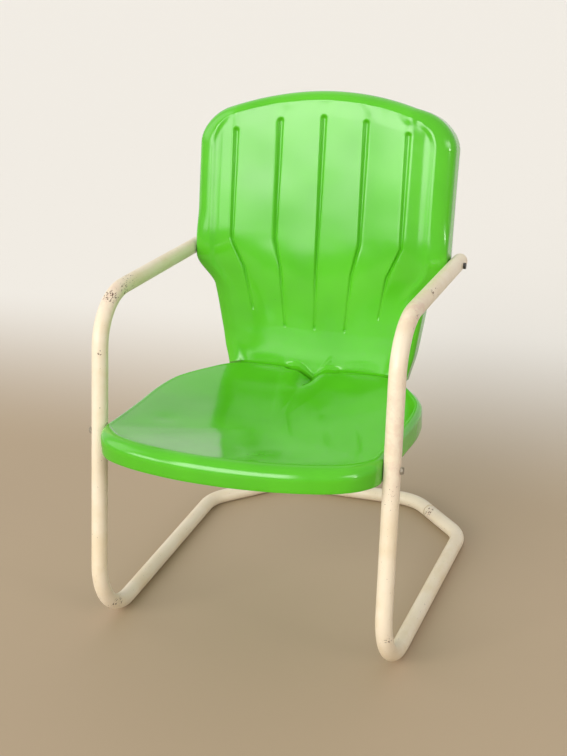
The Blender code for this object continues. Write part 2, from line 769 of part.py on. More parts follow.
def washer(name, collection, finish):
    """Return a flat washer that stands on z = 0."""
    bore = BOLT_R + HOLE_CLEARANCE
    profile = [
        (bore, WASHER_THICK), (WASHER_R, WASHER_THICK), (WASHER_R, 0.0),
        (bore, 0.0), (bore, WASHER_THICK),
    ]
    return turned(name, profile, 12, collection, finish)


def place(target, origin, direction, offset):
    """Stand an object's Z axis along a direction, at an offset from an origin."""
    axis = Vector(direction).normalized()
    target.location = origin + axis * offset
    target.rotation_euler = axis.to_track_quat("Z", "Y").to_euler()


def side_bolts(collection, steel, rust):
    """Build the bolts, washers and nuts that hold the seat and back to the tubes."""
    through = 2 * TUBE_FLAT + 2 * FIT_GAP
    sheet_back = through + SHEET
    washer_at = sheet_back + FIT_GAP
    nut_at = washer_at + WASHER_THICK + FIT_GAP
    length = nut_at + NUT_HEIGHT + THREAD_SPARE
    bolt = bolt_mesh("side_bolt", length)
    nut = nut_mesh("side_nut")
    for word, centre, finish in (("seat", SEAT_BOLT, rust), ("arm", ARM_BOLT, steel)):
        extra = PAD_GAP if word == "arm" else 0.0
        for side, sign in (("left", -1.0), ("right", 1.0)):
            start = Vector(((centre.x + TUBE_FLAT + FIT_GAP) * sign, centre.y, centre.z))
            inward = (-sign, 0.0, 0.0)
            head = new_object(f"{word}_bolt_{side}", bolt.copy(), collection, finish)
            place(head, start, inward, 0.0)
            ring = washer(f"{word}_washer_{side}", collection, finish)
            place(ring, start, inward, washer_at + extra)
            hexnut = new_object(f"{word}_nut_{side}", nut.copy(), collection, finish)
            place(hexnut, start, inward, nut_at + extra)
    bpy.data.meshes.remove(bolt)
    bpy.data.meshes.remove(nut)


def rear_bolts(collection, finish):
    """Build the bolts and nuts that join the back's flange to the seat's rear skirt."""
    nut_at = 2 * SHEET + LIP_GAP + 2 * FIT_GAP
    length = nut_at + NUT_HEIGHT + THREAD_SPARE
    bolt = bolt_mesh("rear_bolt", length)
    nut = nut_mesh("rear_nut")
    for side, sign in (("left", -1.0), ("right", 1.0)):
        for word, x in zip(("inner", "outer"), REAR_BOLT_X):
            start = Vector((x * sign, seat_rear_y(x) + SHEET + LIP_GAP + FIT_GAP, REAR_BOLT_Z))
            head = new_object(f"rear_bolt_{side}_{word}", bolt.copy(), collection, finish)
            place(head, start, (0.0, -1.0, 0.0), 0.0)
            hexnut = new_object(f"rear_nut_{side}_{word}", nut.copy(), collection, finish)
            place(hexnut, start, (0.0, -1.0, 0.0), nut_at)
    bpy.data.meshes.remove(bolt)
    bpy.data.meshes.remove(nut)


def arm_end_caps(collection, finish):
    """Build the domed caps that plug the rear ends of the arms."""
    plug = (TUBE_R - TUBE_WALL) * math.cos(math.pi / TUBE_SIDES) - FIT_GAP
    profile = []
    for step in range(5):
        turn = step * math.pi / 8
        profile.append((TUBE_R * math.sin(turn), FIT_GAP + CAP_DOME * math.cos(turn)))
    profile += [(plug, FIT_GAP), (plug, -CAP_PLUG), (0.0, -CAP_PLUG)]
    for side, sign in (("left", -1.0), ("right", 1.0)):
        cap = turned(f"arm_end_cap_{side}", profile, TUBE_SIDES, collection, finish)
        end = Vector((ARM_END.x * sign, ARM_END.y, ARM_END.z))
        front = Vector((ARM_FRONT.x * sign, ARM_FRONT.y, ARM_FRONT.z))
        place(cap, end, end - front, 0.0)


def main():
    """Build the chair."""
    for old in list(bpy.data.objects):
        bpy.data.objects.remove(old)
    chair = bpy.data.collections.new("peeling_paint_chair")
    cutters = bpy.data.collections.new("cutters")
    for collection in (chair, cutters):
        bpy.context.scene.collection.children.link(collection)
    cutters.hide_render = True
    green = material("green_enamel", (0.125, 0.560, 0.040), 0.0, 0.16)
    cream = material("cream_paint", (0.800, 0.730, 0.560), 0.0, 0.38)
    rust = material("rusty_steel", (0.150, 0.085, 0.050), 0.6, 0.75)
    steel = material("dark_steel", (0.060, 0.055, 0.050), 0.8, 0.55)
    frame_tubes(chair, cutters, cream)
    seat_pan(chair, cutters, green)
    back_shell(chair, cutters, green)
    arm_end_caps(chair, cream)
    side_bolts(chair, steel, rust)
    rear_bolts(chair, steel)
    bpy.context.view_layer.update()


main()
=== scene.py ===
"""Looks of a shell-back metal lawn chair: pressed enamelled sheet on a bent cream tube frame.

Every length is in metres in the chair's own frame: the floor is z = 0, the front is -Y
and the chair is symmetric about x = 0.
"""

import logging
import math
from dataclasses import dataclass, field
from enum import Enum
from typing import Callable, Sequence

import bmesh
import bpy
from mathutils import Matrix, Vector, noise


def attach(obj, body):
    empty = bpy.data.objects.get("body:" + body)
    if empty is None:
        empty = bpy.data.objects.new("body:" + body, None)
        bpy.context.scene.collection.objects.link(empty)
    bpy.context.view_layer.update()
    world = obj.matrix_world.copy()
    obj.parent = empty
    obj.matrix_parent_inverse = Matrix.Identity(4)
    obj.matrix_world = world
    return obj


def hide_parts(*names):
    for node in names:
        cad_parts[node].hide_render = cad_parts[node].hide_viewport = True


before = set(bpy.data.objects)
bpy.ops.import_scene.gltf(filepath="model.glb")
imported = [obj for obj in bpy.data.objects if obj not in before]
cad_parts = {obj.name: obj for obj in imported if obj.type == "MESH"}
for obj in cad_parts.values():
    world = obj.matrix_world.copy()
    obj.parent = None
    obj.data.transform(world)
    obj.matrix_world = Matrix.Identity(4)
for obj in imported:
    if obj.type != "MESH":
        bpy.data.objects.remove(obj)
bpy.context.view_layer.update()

LOG = logging.getLogger("chair")
BODY = "root"
MERGE = 0.00001
Color = tuple[float, float, float]


class Slot(Enum):
    """The record's material slots."""

    GREEN = "green_enamel"
    CREAM = "cream_paint"
    RUST = "rusty_steel"
    STEEL = "dark_steel"


class Side(Enum):
    """The two sides of the chair, with the sign of their x."""

    LEFT = -1.0
    RIGHT = 1.0

    @property
    def word(self) -> str:
        """The side's name in lower case."""
        return self.name.lower()


# Small helpers


def mix(first: float, second: float, share: float) -> float:
    """Return the linear mix of two numbers."""
    return first + (second - first) * share


def smooth(share: float) -> float:
    """Return a smooth 0 to 1 step of a share that is held to 0..1."""
    share = min(1.0, max(0.0, share))
    return share * share * (3.0 - 2.0 * share)


def ramp(value: float, low: float, high: float) -> float:
    """Return the smooth 0 to 1 step that a value makes from low to high."""
    return smooth((value - low) / (high - low))


def eased(share: float, end: float) -> float:
    """Return a 0 to 1 ramp, straight but for a rounded share of its run at each end.

    Args:
        share: The place on the run, held to 0..1.
        end: The share of the run that is rounded at each end.

    Returns:
        The ramp's height there.
    """
    share = min(1.0, max(0.0, share))
    slope = 1.0 / (1.0 - end)
    if share < end:
        return 0.5 * slope * share * share / end
    if share > 1.0 - end:
        return 1.0 - 0.5 * slope * (1.0 - share) ** 2 / end
    return slope * (share - 0.5 * end)


def along(start: Vector, end: Vector, axis: int, value: float) -> Vector:
    """Return the point of a straight line where one coordinate has a value."""
    return start.lerp(end, (value - start[axis]) / (end[axis] - start[axis]))


def mirrored(point: Vector) -> Vector:
    """Return a point on the other side of x = 0."""
    return Vector((-point.x, point.y, point.z))


def spline_value(before: float, start: float, end: float, after: float, share: float) -> float:
    """Return one coordinate of a spline that passes through its points.

    Args:
        before: The point before the span.
        start: The span's first point.
        end: The span's last point.
        after: The point after the span.
        share: The place in the span, from 0 to 1.

    Returns:
        The coordinate there.
    """
    square = share * share
    cube = square * share
    return 0.5 * (
        2 * start
        + (end - before) * share
        + (2 * before - 5 * start + 4 * end - after) * square
        + (3 * start - before - 3 * end + after) * cube
    )


def deselect() -> None:
    """Leave edit mode with nothing selected and nothing active."""
    if bpy.context.object is not None and bpy.context.object.mode != "OBJECT":
        bpy.ops.object.mode_set(mode="OBJECT")
    bpy.ops.object.select_all(action="DESELECT")
    bpy.context.view_layer.objects.active = None


def pick(target: bpy.types.Object) -> None:
    """Make one object the only selected and active one.

    Args:
        target: The object.
    """
    deselect()
    target.select_set(True)
    bpy.context.view_layer.objects.active = target


def apply_modifier(target: bpy.types.Object, kind: str, **settings: object) -> None:
    """Add a modifier with its settings and apply it.

    Args:
        target: The object.
        kind: The modifier's type.
        **settings: Its property values.
    """
    pick(target)
    modifier = target.modifiers.new(kind.lower(), kind)
    for name, value in settings.items():
        setattr(modifier, name, value)
    bpy.ops.object.modifier_apply(modifier=modifier.name)


def clean_mesh(target: bpy.types.Object) -> None:
    """Merge doubled points and turn every face of an object outwards.

    Args:
        target: The object.
    """
    pick(target)
    bpy.ops.object.mode_set(mode="EDIT")
    bpy.ops.mesh.select_all(action="SELECT")
    bpy.ops.mesh.remove_doubles(threshold=MERGE)
    bpy.ops.mesh.normals_make_consistent(inside=False)
    bpy.ops.object.mode_set(mode="OBJECT")


def lay_grid(
    name: str, across: int, rows: int, place: Callable[[int, int], Vector]
) -> bpy.types.Object:
    """Add a grid and stand each of its points where a form says.

    Args:
        name: The object's name.
        across: The number of columns of points.
        rows: The number of rows of points.
        place: Gives a point for a column and a row.

    Returns:
        The shaped grid.
    """
    deselect()
    bpy.ops.mesh.primitive_grid_add(
        x_subdivisions=across - 1, y_subdivisions=rows - 1, size=1.0, calc_uvs=False
    )
    grid = bpy.context.object
    grid.name = name
    grid.data.name = name
    for index, vert in enumerate(grid.data.vertices):
        row, column = divmod(index, across)
        vert.co = place(column, row)
    return grid


def join(first: bpy.types.Object, other: bpy.types.Object) -> None:
    """Join a second object into the first one.

    Args:
        first: The object that stays.
        other: The object that goes into it.
    """
    pick(first)
    other.select_set(True)
    bpy.ops.object.join()


def settle(target: bpy.types.Object) -> None:
    """Put an object's place, turn and size into its mesh."""
    pick(target)
    bpy.ops.object.transform_apply(location=True, rotation=True, scale=True)


def dress(
    target: bpy.types.Object,
    finish: bpy.types.Material,
    node: str,
    angle: float = 35.0,
) -> None:
    """Shade a finished piece, give it its finish and let it stand for a node.

    Args:
        target: The finished piece.
        finish: Its material.
        node: The solid that it stands for.
        angle: Edges sharper than this, in degrees, stay crisp.
    """
    pick(target)
    bpy.ops.object.shade_smooth_by_angle(angle=math.radians(angle))
    target.data.materials.clear()
    target.data.materials.append(finish)
    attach(target, BODY)
    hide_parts(node)
    LOG.info("%s: %d faces", target.name, len(target.data.polygons))


# Finishes


class Wiring:
    """A node tree, with the few kinds of node that the finishes and the sky share."""

    def __init__(self, tree: bpy.types.NodeTree) -> None:
        """Take a node tree to add to."""
        self.tree = tree

    def wire(self, source: object, target: bpy.types.NodeSocket) -> None:
        """Link a socket to an input, or set the input to a plain value.

        Args:
            source: The socket or the value.
            target: The input.
        """
        if isinstance(source, bpy.types.NodeSocket):
            self.tree.links.new(source, target)
        else:
            target.default_value = source

    def step(
        self,
        value: bpy.types.NodeSocket,
        low: float,
        high: float,
        start: float = 0.0,
        end: float = 1.0,
    ) -> bpy.types.NodeSocket:
        """Add a smooth step of a value.

        Args:
            value: The value's socket.
            low: The value at which the step begins.
            high: The value at which it ends.
            start: The result up to its beginning.
            end: The result from its end on.

        Returns:
            The result's socket.
        """
        node = self.tree.nodes.new("ShaderNodeMapRange")
        node.interpolation_type = "SMOOTHSTEP"
        self.wire(value, node.inputs["Value"])
        for name, number in (
            ("From Min", low),
            ("From Max", high),
            ("To Min", start),
            ("To Max", end),
        ):
            node.inputs[name].default_value = number
        return node.outputs["Result"]

    def math(self, kind: str, first: object, second: object = 0.0) -> bpy.types.NodeSocket:
        """Add one step of arithmetic.

        Args:
            kind: The operation.
            first: Its first value, a socket or a number.
            second: Its second value, where it takes one.

        Returns:
            The result's socket.
        """
        node = self.tree.nodes.new("ShaderNodeMath")
        node.operation = kind
        self.wire(first, node.inputs[0])
        self.wire(second, node.inputs[1])
        return node.outputs["Value"]


class Graph(Wiring):
    """A material's node tree, with the patterns that the finishes use."""

    def __init__(self, name: str) -> None:
        """Start a material with its Principled shader.

        Args:
            name: The material's name.
        """
        self.material = bpy.data.materials.new(name)
        self.material.use_nodes = True
        super().__init__(self.material.node_tree)
        self.shader = self.tree.nodes["Principled BSDF"]
        self.place = self.tree.nodes.new("ShaderNodeTexCoord").outputs["Object"]

    def noise(
        self, scale: float, detail: float = 3.0, rough: float = 0.5, seed: float = 0.0
    ) -> bpy.types.NodeSocket:
        """Return a noise value over the object.

        Args:
            scale: Features to a metre.
            detail: The number of finer layers.
            rough: How strong the finer layers are.
            seed: The slice of four-dimensional noise.

        Returns:
            The value's socket.
        """
        node = self.tree.nodes.new("ShaderNodeTexNoise")
        node.noise_dimensions = "4D"
        self.wire(self.place, node.inputs["Vector"])
        node.inputs["W"].default_value = seed
        node.inputs["Scale"].default_value = scale
        node.inputs["Detail"].default_value = detail
        node.inputs["Roughness"].default_value = rough
        return node.outputs["Fac"]

    def blend(self, share: object, first: object, second: object) -> bpy.types.NodeSocket:
        """Add the mix of two colours.

        Args:
            share: How much of the second one it takes, a socket or a number.
            first: The first colour, a socket or a plain colour.
            second: The second one.

        Returns:
            The mixed colour's socket.
        """
        node = self.tree.nodes.new("ShaderNodeMix")
        node.data_type = "RGBA"
        self.wire(share, node.inputs[0])
        for color, target in ((first, node.inputs[6]), (second, node.inputs[7])):
            self.wire((*color, 1.0) if isinstance(color, tuple) else color, target)
        return node.outputs[2]

    def nearness(self, spots: Sequence["Spot"]) -> bpy.types.NodeSocket:
        """Add how near a place is to the nearest of some spots.

        Args:
            spots: The worn places.

        Returns:
            A value from 0 to the nearest spot's amount.
        """
        nearest = None
        for spot in spots:
            node = self.tree.nodes.new("ShaderNodeVectorMath")
            node.operation = "DISTANCE"
            self.wire(self.place, node.inputs[0])
            node.inputs[1].default_value = spot.place
            near = spot.reach * spot.core
            share = self.step(node.outputs["Value"], spot.reach, near, 0.0, spot.amount)
            nearest = share if nearest is None else self.math("MAXIMUM", nearest, share)
        return nearest

    def bump(self, height: bpy.types.NodeSocket, depth: float, strength: float) -> None:
        """Raise the surface where a height value is more.

        Args:
            height: The value.
            depth: How far a value of 1 stands out, in metres.
            strength: How much of it shows.
        """
        node = self.tree.nodes.new("ShaderNodeBump")
        node.inputs["Strength"].default_value = strength
        node.inputs["Distance"].default_value = depth
        self.wire(height, node.inputs["Height"])
        self.wire(node.outputs["Normal"], self.shader.inputs["Normal"])

    def set(self, name: str, value: object) -> None:
        """Give the shader an input.

        Args:
            name: The input's name.
            value: A socket, a number or a plain colour.
        """
        if isinstance(value, tuple):
            value = (*value, 1.0)
        self.wire(value, self.shader.inputs[name])


@dataclass(frozen=True)
class Spot:
    """A place where the paint is worn, with how far the wear reaches."""

    place: tuple[float, float, float]
    reach: float
    amount: float = 1.0
    core: float = 0.2


@dataclass(frozen=True)
class GreenEnamel:
    """Glossy lime green enamel on pressed sheet, with a faint ripple and fine marks."""

    color: Color = (0.088, 0.480, 0.012)
    shade: Color = (0.074, 0.425, 0.009)
    mark: Color = (0.060, 0.200, 0.020)
    roughness: float = 0.13

    def build(self) -> bpy.types.Material:
        """Lay the finish's node tree.

        Returns:
            The material.
        """
        graph = Graph("green_enamel_gloss")
        tone = graph.blend(graph.step(graph.noise(7.0, 2.0), 0.35, 0.65), self.color, self.shade)
        fleck = graph.step(graph.noise(240.0, 1.0, 0.4, 3.0), 0.775, 0.80)
        rare = graph.step(graph.noise(9.0, 1.0, 0.5, 5.0), 0.56, 0.62)
        tone = graph.blend(graph.math("MULTIPLY", fleck, rare), tone, self.mark)
        graph.set("Base Color", tone)
        haze = graph.noise(26.0, 4.0, 0.6, 1.0)
        clear, hazy = self.roughness * 0.85, self.roughness * 1.35
        graph.set("Roughness", graph.step(haze, 0.3, 0.75, clear, hazy))
        graph.set("Coat Weight", 0.12)
        graph.set("Coat Roughness", 0.05)
        graph.bump(graph.noise(160.0, 2.0, 0.5, 2.0), 0.00012, 0.18)
        return graph.material


@dataclass(frozen=True)
class CreamPaint:
    """Old ivory paint on tube, yellowed and dirty, chipped and rust-speckled in places."""

    color: Color = (0.770, 0.670, 0.515)
    aged: Color = (0.720, 0.600, 0.415)
    worn: Color = (0.640, 0.420, 0.330)
    rust: Color = (0.110, 0.045, 0.024)
    roughness: float = 0.36
    chips: tuple[Spot, ...] = ()
    rubbed: tuple[Spot, ...] = ()

    def build(self) -> bpy.types.Material:
        """Lay the finish's node tree.

        Returns:
            The material.
        """
        graph = Graph("cream_paint_chipped")
        tone = graph.blend(graph.step(graph.noise(16.0, 4.0, 0.6), 0.42, 0.72), self.color, self.aged)
        rubbed = graph.nearness(self.rubbed)
        cloud = graph.step(graph.noise(70.0, 5.0, 0.65, 4.0), 0.40, 0.62)
        tone = graph.blend(graph.math("MULTIPLY", rubbed, cloud), tone, self.worn)
        grain = graph.noise(330.0, 2.0, 0.5, 7.0)
        lift = graph.math("MULTIPLY", graph.nearness(self.chips), 0.19)
        chip = graph.step(graph.math("ADD", grain, lift), 0.715, 0.745)
        fine = graph.step(graph.noise(520.0, 1.0, 0.5, 9.0), 0.765, 0.79)
        chip = graph.math("MAXIMUM", chip, fine)
        tone = graph.blend(chip, tone, self.rust)
        graph.set("Base Color", tone)
        haze = graph.noise(45.0, 4.0, 0.6, 6.0)
        gloss = graph.step(haze, 0.3, 0.7, self.roughness * 0.8, self.roughness * 1.3)
        graph.set("Roughness", graph.math("ADD", gloss, graph.math("MULTIPLY", chip, 0.4)))
        brushed = graph.math("MULTIPLY", graph.noise(130.0, 3.0, 0.5, 8.0), 0.35)
        graph.bump(graph.math("SUBTRACT", brushed, chip), 0.00025, 0.6)
        return graph.material


@dataclass(frozen=True)
class BareSteel:
    """Steel of a fastener, dull and more or less rusted."""

    name: str
    color: Color
    rust: Color
    rust_share: float
    metallic: float
    roughness: float

    def build(self) -> bpy.types.Material:
        """Lay the finish's node tree.

        Returns:
            The material.
        """
        graph = Graph(self.name)
        patches = graph.noise(330.0, 5.0, 0.65, 2.0)
        edge = 0.72 - 0.4 * self.rust_share
        cover = graph.step(patches, edge, edge + 0.14)
        old_rust = tuple(value * 0.45 for value in self.rust)
        mottle = graph.blend(graph.noise(900.0, 3.0, 0.6, 4.0), self.rust, old_rust)
        graph.set("Base Color", graph.blend(cover, self.color, mottle))
        graph.set("Metallic", graph.step(cover, 0.0, 1.0, self.metallic, 0.0))
        graph.set("Roughness", graph.step(cover, 0.0, 1.0, self.roughness, 0.85))
        graph.bump(graph.noise(1100.0, 4.0, 0.6, 6.0), 0.0002, 0.5)
        return graph.material


# Seat


@dataclass
class SeatPan:
    """The dished seat with its rolled rim, deep skirt and the cleft at its rear."""

    finish: bpy.types.Material
    nose_y: float = -0.3655
    leg_y: float = -0.24586
    half_at_leg: float = 0.24837
    rear_y: float = 0.13207
    rim_z: float = 0.383
    front_rise: float = 0.019
    skirt: float = 0.041
    roll: float = 0.010
    front_roll: float = 0.0220
    shoulder: float = 0.0050
    hem: float = 0.004
    dish: float = 0.020
    shoulder_drop: float = 0.001
    centre_y: float = -0.120
    sheet: float = 0.0012
    cleft_depth: float = 0.020
    cleft_half: float = 0.030
    cleft_run: float = 0.085
    cleft_sharpness: float = 1.4
    bowl_ease: float = 1.3
    bowl_rings: int = 40
    bowl_spread: float = 1.5
    roll_rings: int = 12
    shoulder_rings: int = 6
    outline_step: float = 0.006
    leg_flat: float = 0.022
    dent_place: tuple[float, float] = (-0.1737, -0.1700)
    dent_depth: float = 0.0014
    dent_reach: float = 0.020
    outline: list[tuple[float, float]] = field(default_factory=list)

    def __post_init__(self) -> None:
        """Draw the half outline from the nose to the rear middle."""
        half, leg, nose, rear = self.half_at_leg, self.leg_y, self.nose_y, self.rear_y
        corners = (
            (0.000, nose), (0.050, nose + 0.002), (0.100, nose + 0.009), (0.150, nose + 0.021),
            (0.192, nose + 0.037), (0.222, nose + 0.057), (half - 0.0070, nose + 0.083),
            (half, leg - 0.014), (half, leg + 0.014), (half + 0.0012, leg + 0.060),
            (half + 0.0035, leg + 0.125), (half + 0.0060, leg + 0.195), (half - 0.0005, leg + 0.252),
            (half - 0.0160, leg + 0.289), (half - 0.0390, leg + 0.323), (0.183, rear - 0.022),
            (0.158, rear - 0.0075), (0.1245, rear), (0.064, rear), (0.044, rear - 0.011),
            (0.022, rear - 0.014), (0.010, rear - 0.013), (0.000, rear - 0.010),
        )
        count = len(corners)
        for index in range(count - 1):
            before = corners[index - 1] if index else (-corners[1][0], corners[1][1])
            after = corners[index + 2] if index + 2 < count else (-corners[-2][0], corners[-2][1])
            start, end = corners[index], corners[index + 1]
            steps = max(3, round(math.dist(start, end) / self.outline_step))
            for step in range(steps):
                x, y = (
                    spline_value(before[k], start[k], end[k], after[k], step / steps)
                    for k in (0, 1)
                )
                if abs(y - leg) < self.leg_flat:
                    x = min(x, half)
                self.outline.append((x, y))
        self.outline.append(corners[-1])

    def rear_edge_y(self, x: float) -> float:
        """Return how far back the rear edge reaches.

        Args:
            x: The distance from the middle.

        Returns:
            The edge's depth there.
        """
        rear = [point for point in self.outline if point[1] > self.centre_y]
        for first, second in zip(rear, rear[1:]):
            if second[0] <= abs(x) <= first[0]:
                share = (abs(x) - second[0]) / max(1e-9, first[0] - second[0])
                return mix(second[1], first[1], share)
        return rear[0][1]

    def rim_height(self, y: float) -> float:
        """Return the rim's height at a depth of the chair."""
        return self.rim_z + self.front_rise * (min(0.0, y) / self.nose_y) ** 2

    def cleft(self, x: float, y: float) -> float:
        """Return how deep the cleft is pressed.

        Args:
            x: The distance from the middle.
            y: The depth of the chair.

        Returns:
            The drop there.
        """
        across = max(0.0, 1.0 - abs(x) / self.cleft_half)
        rear = self.outline[-1][1]
        run = smooth((y - rear + self.cleft_run) / self.cleft_run)
        return self.cleft_depth * across**self.cleft_sharpness * run

    def roll_at(self, y: float) -> float:
        """Return the roll's radius, which is fuller along the front."""
        return mix(self.roll, self.front_roll, smooth((self.leg_y + 0.010 - y) / 0.070))

    def shoulder_at(self, y: float) -> float:
        """Return how far inside the rim the crease of the dish runs."""
        return self.roll_at(y) + self.shoulder

    def inset(self, distance: Callable[[float], float]) -> list[tuple[float, float]]:
        """Return the half outline moved inwards.

        Args:
            distance: How far it moves, for a place's depth.

        Returns:
            The moved points in plan.
        """
        points, moved = self.outline, []
        last = len(points) - 1
        for index, (x, y) in enumerate(points):
            ahead = points[index + 1] if index < last else (-points[index - 1][0], points[index - 1][1])
            back = points[index - 1] if index else (-points[1][0], points[1][1])
            tangent = Vector((ahead[0] - back[0], ahead[1] - back[1])).normalized()
            inward = Vector((-tangent.y, tangent.x)) * distance(y)
            if y > self.centre_y:
                inward.x *= smooth(x / (2 * self.cleft_half))
            moved.append((0.0 if index in (0, last) else x + inward.x, y + inward.y))
        return moved

    def ring(
        self, inward: Callable[[float], float], drop: Callable[[float], float], share: float
    ) -> list[Vector]:
        """Return a ring of the skirt or the roll.

        Args:
            inward: How far inside the outline it runs, for a place's depth.
            drop: Its height over the rim, for a place's depth.
            share: How much of the cleft it follows.

        Returns:
            The ring's points.
        """
        return [
            Vector((x, y, self.rim_height(edge_y) + drop(edge_y) - share * self.cleft(edge_x, edge_y)))
            for (x, y), (edge_x, edge_y) in zip(self.inset(inward), self.outline)
        ]

    def rings(self) -> list[list[Vector]]:
        """Form the half pan from the hem up over the roll to the centre.

        Returns:
            The rings of points, in order.
        """
        hem = self.hem
        rings = []
        for inward, lift in ((hem, 0.001), (0.6 * hem, 0.0), (0.2 * hem, 0.0004), (0.0, 0.003)):
            rings.append(self.ring(lambda y: inward, lambda y: lift - self.skirt, 0.0))
        foot = 0.003 - self.skirt
        for share in (0.3, 0.65, 1.0):
            rings.append(self.ring(lambda y: 0.0, lambda y: mix(foot, -self.roll_at(y), share), share))
        for step in range(1, self.roll_rings + 1):
            turn = math.pi / 2 * step / self.roll_rings
            inward, lift = 1.0 - math.cos(turn), math.sin(turn) - 1.0
            ring = self.ring(lambda y: self.roll_at(y) * inward, lambda y: self.roll_at(y) * lift, 1.0)
            rings.append(ring)
        inner = self.inset(self.shoulder_at)
        for step in range(1, self.shoulder_rings + 1):
            rings.append(self.shoulder_ring(inner, step / self.shoulder_rings))
        for step in range(1, self.bowl_rings + 1):
            scale = 1.0 - (step / self.bowl_rings) ** self.bowl_spread
            bowl = self.dish * (1 - scale * scale) ** self.bowl_ease
            ring = []
            for x, y in inner:
                px, py = x * scale, mix(self.centre_y, y, scale)
                z = self.rim_height(py) - bowl - self.shoulder_drop - self.cleft(px, py)
                ring.append(Vector((px, py, z)))
            rings.append(ring)
        return rings

    def shoulder_ring(self, inner: list[tuple[float, float]], share: float) -> list[Vector]:
        """Return a ring between the roll's top and the crease of the dish.

        Args:
            inner: The crease in plan.
            share: How near the ring is to the crease.

        Returns:
            The ring's points.
        """
        ring = []
        places = self.inset(lambda y: mix(self.roll_at(y), self.shoulder_at(y), share))
        for (x, y), (inner_x, inner_y), (edge_x, edge_y) in zip(places, inner, self.outline):
            top = self.rim_height(edge_y) - self.cleft(edge_x, edge_y)
            low = self.rim_height(inner_y) - self.shoulder_drop - self.cleft(inner_x, inner_y)
            ring.append(Vector((x, y, mix(top, low, smooth(share)))))
        return ring

    def build(self) -> None:
        """Build the seat."""
        rings = self.rings()
        seat = lay_grid(
            "seat_pan_pressed", len(self.outline), len(rings), lambda column, row: rings[row][column]
        )
        clean_mesh(seat)
        apply_modifier(seat, "MIRROR", use_clip=True, merge_threshold=0.0001)
        clean_mesh(seat)
        self.wave(seat)
        apply_modifier(seat, "SOLIDIFY", thickness=self.sheet, offset=-1.0, use_even_offset=True)
        dress(seat, self.finish, "seat_pan")

    def wave(self, seat: bpy.types.Object) -> None:
        """Give the pressed sheet its slight unevenness and its one soft dent.

        Args:
            seat: The pan, still without its sheet's thickness.
        """
        dent = Vector(self.dent_place)
        for vert in seat.data.vertices:
            if vert.co.z < self.rim_z - self.roll * 1.5 and abs(vert.co.x) > 0.2:
                continue
            ripple = noise.noise(vert.co * 14.0) * 0.0005
            away = (vert.co.xy - dent).length / self.dent_reach
            vert.co.z += ripple - self.dent_depth * math.exp(-(away**2))


# Back


class Strip(Enum):
    """The strips of the back's half field, from which its columns of points are drawn."""

    GROOVE = "groove"
    PANEL = "panel"
    EDGE = "edge"
    CORNER = "corner"


class Bound(Enum):
    """The three runs of the field's boundary."""

    FOOT = "foot"
    SIDE = "side"
    TOP = "top"


@dataclass(frozen=True)
class Column:
    """One column of the back's half field: its strip, the strip's number and its share of it."""

    strip: Strip
    index: int
    share: float


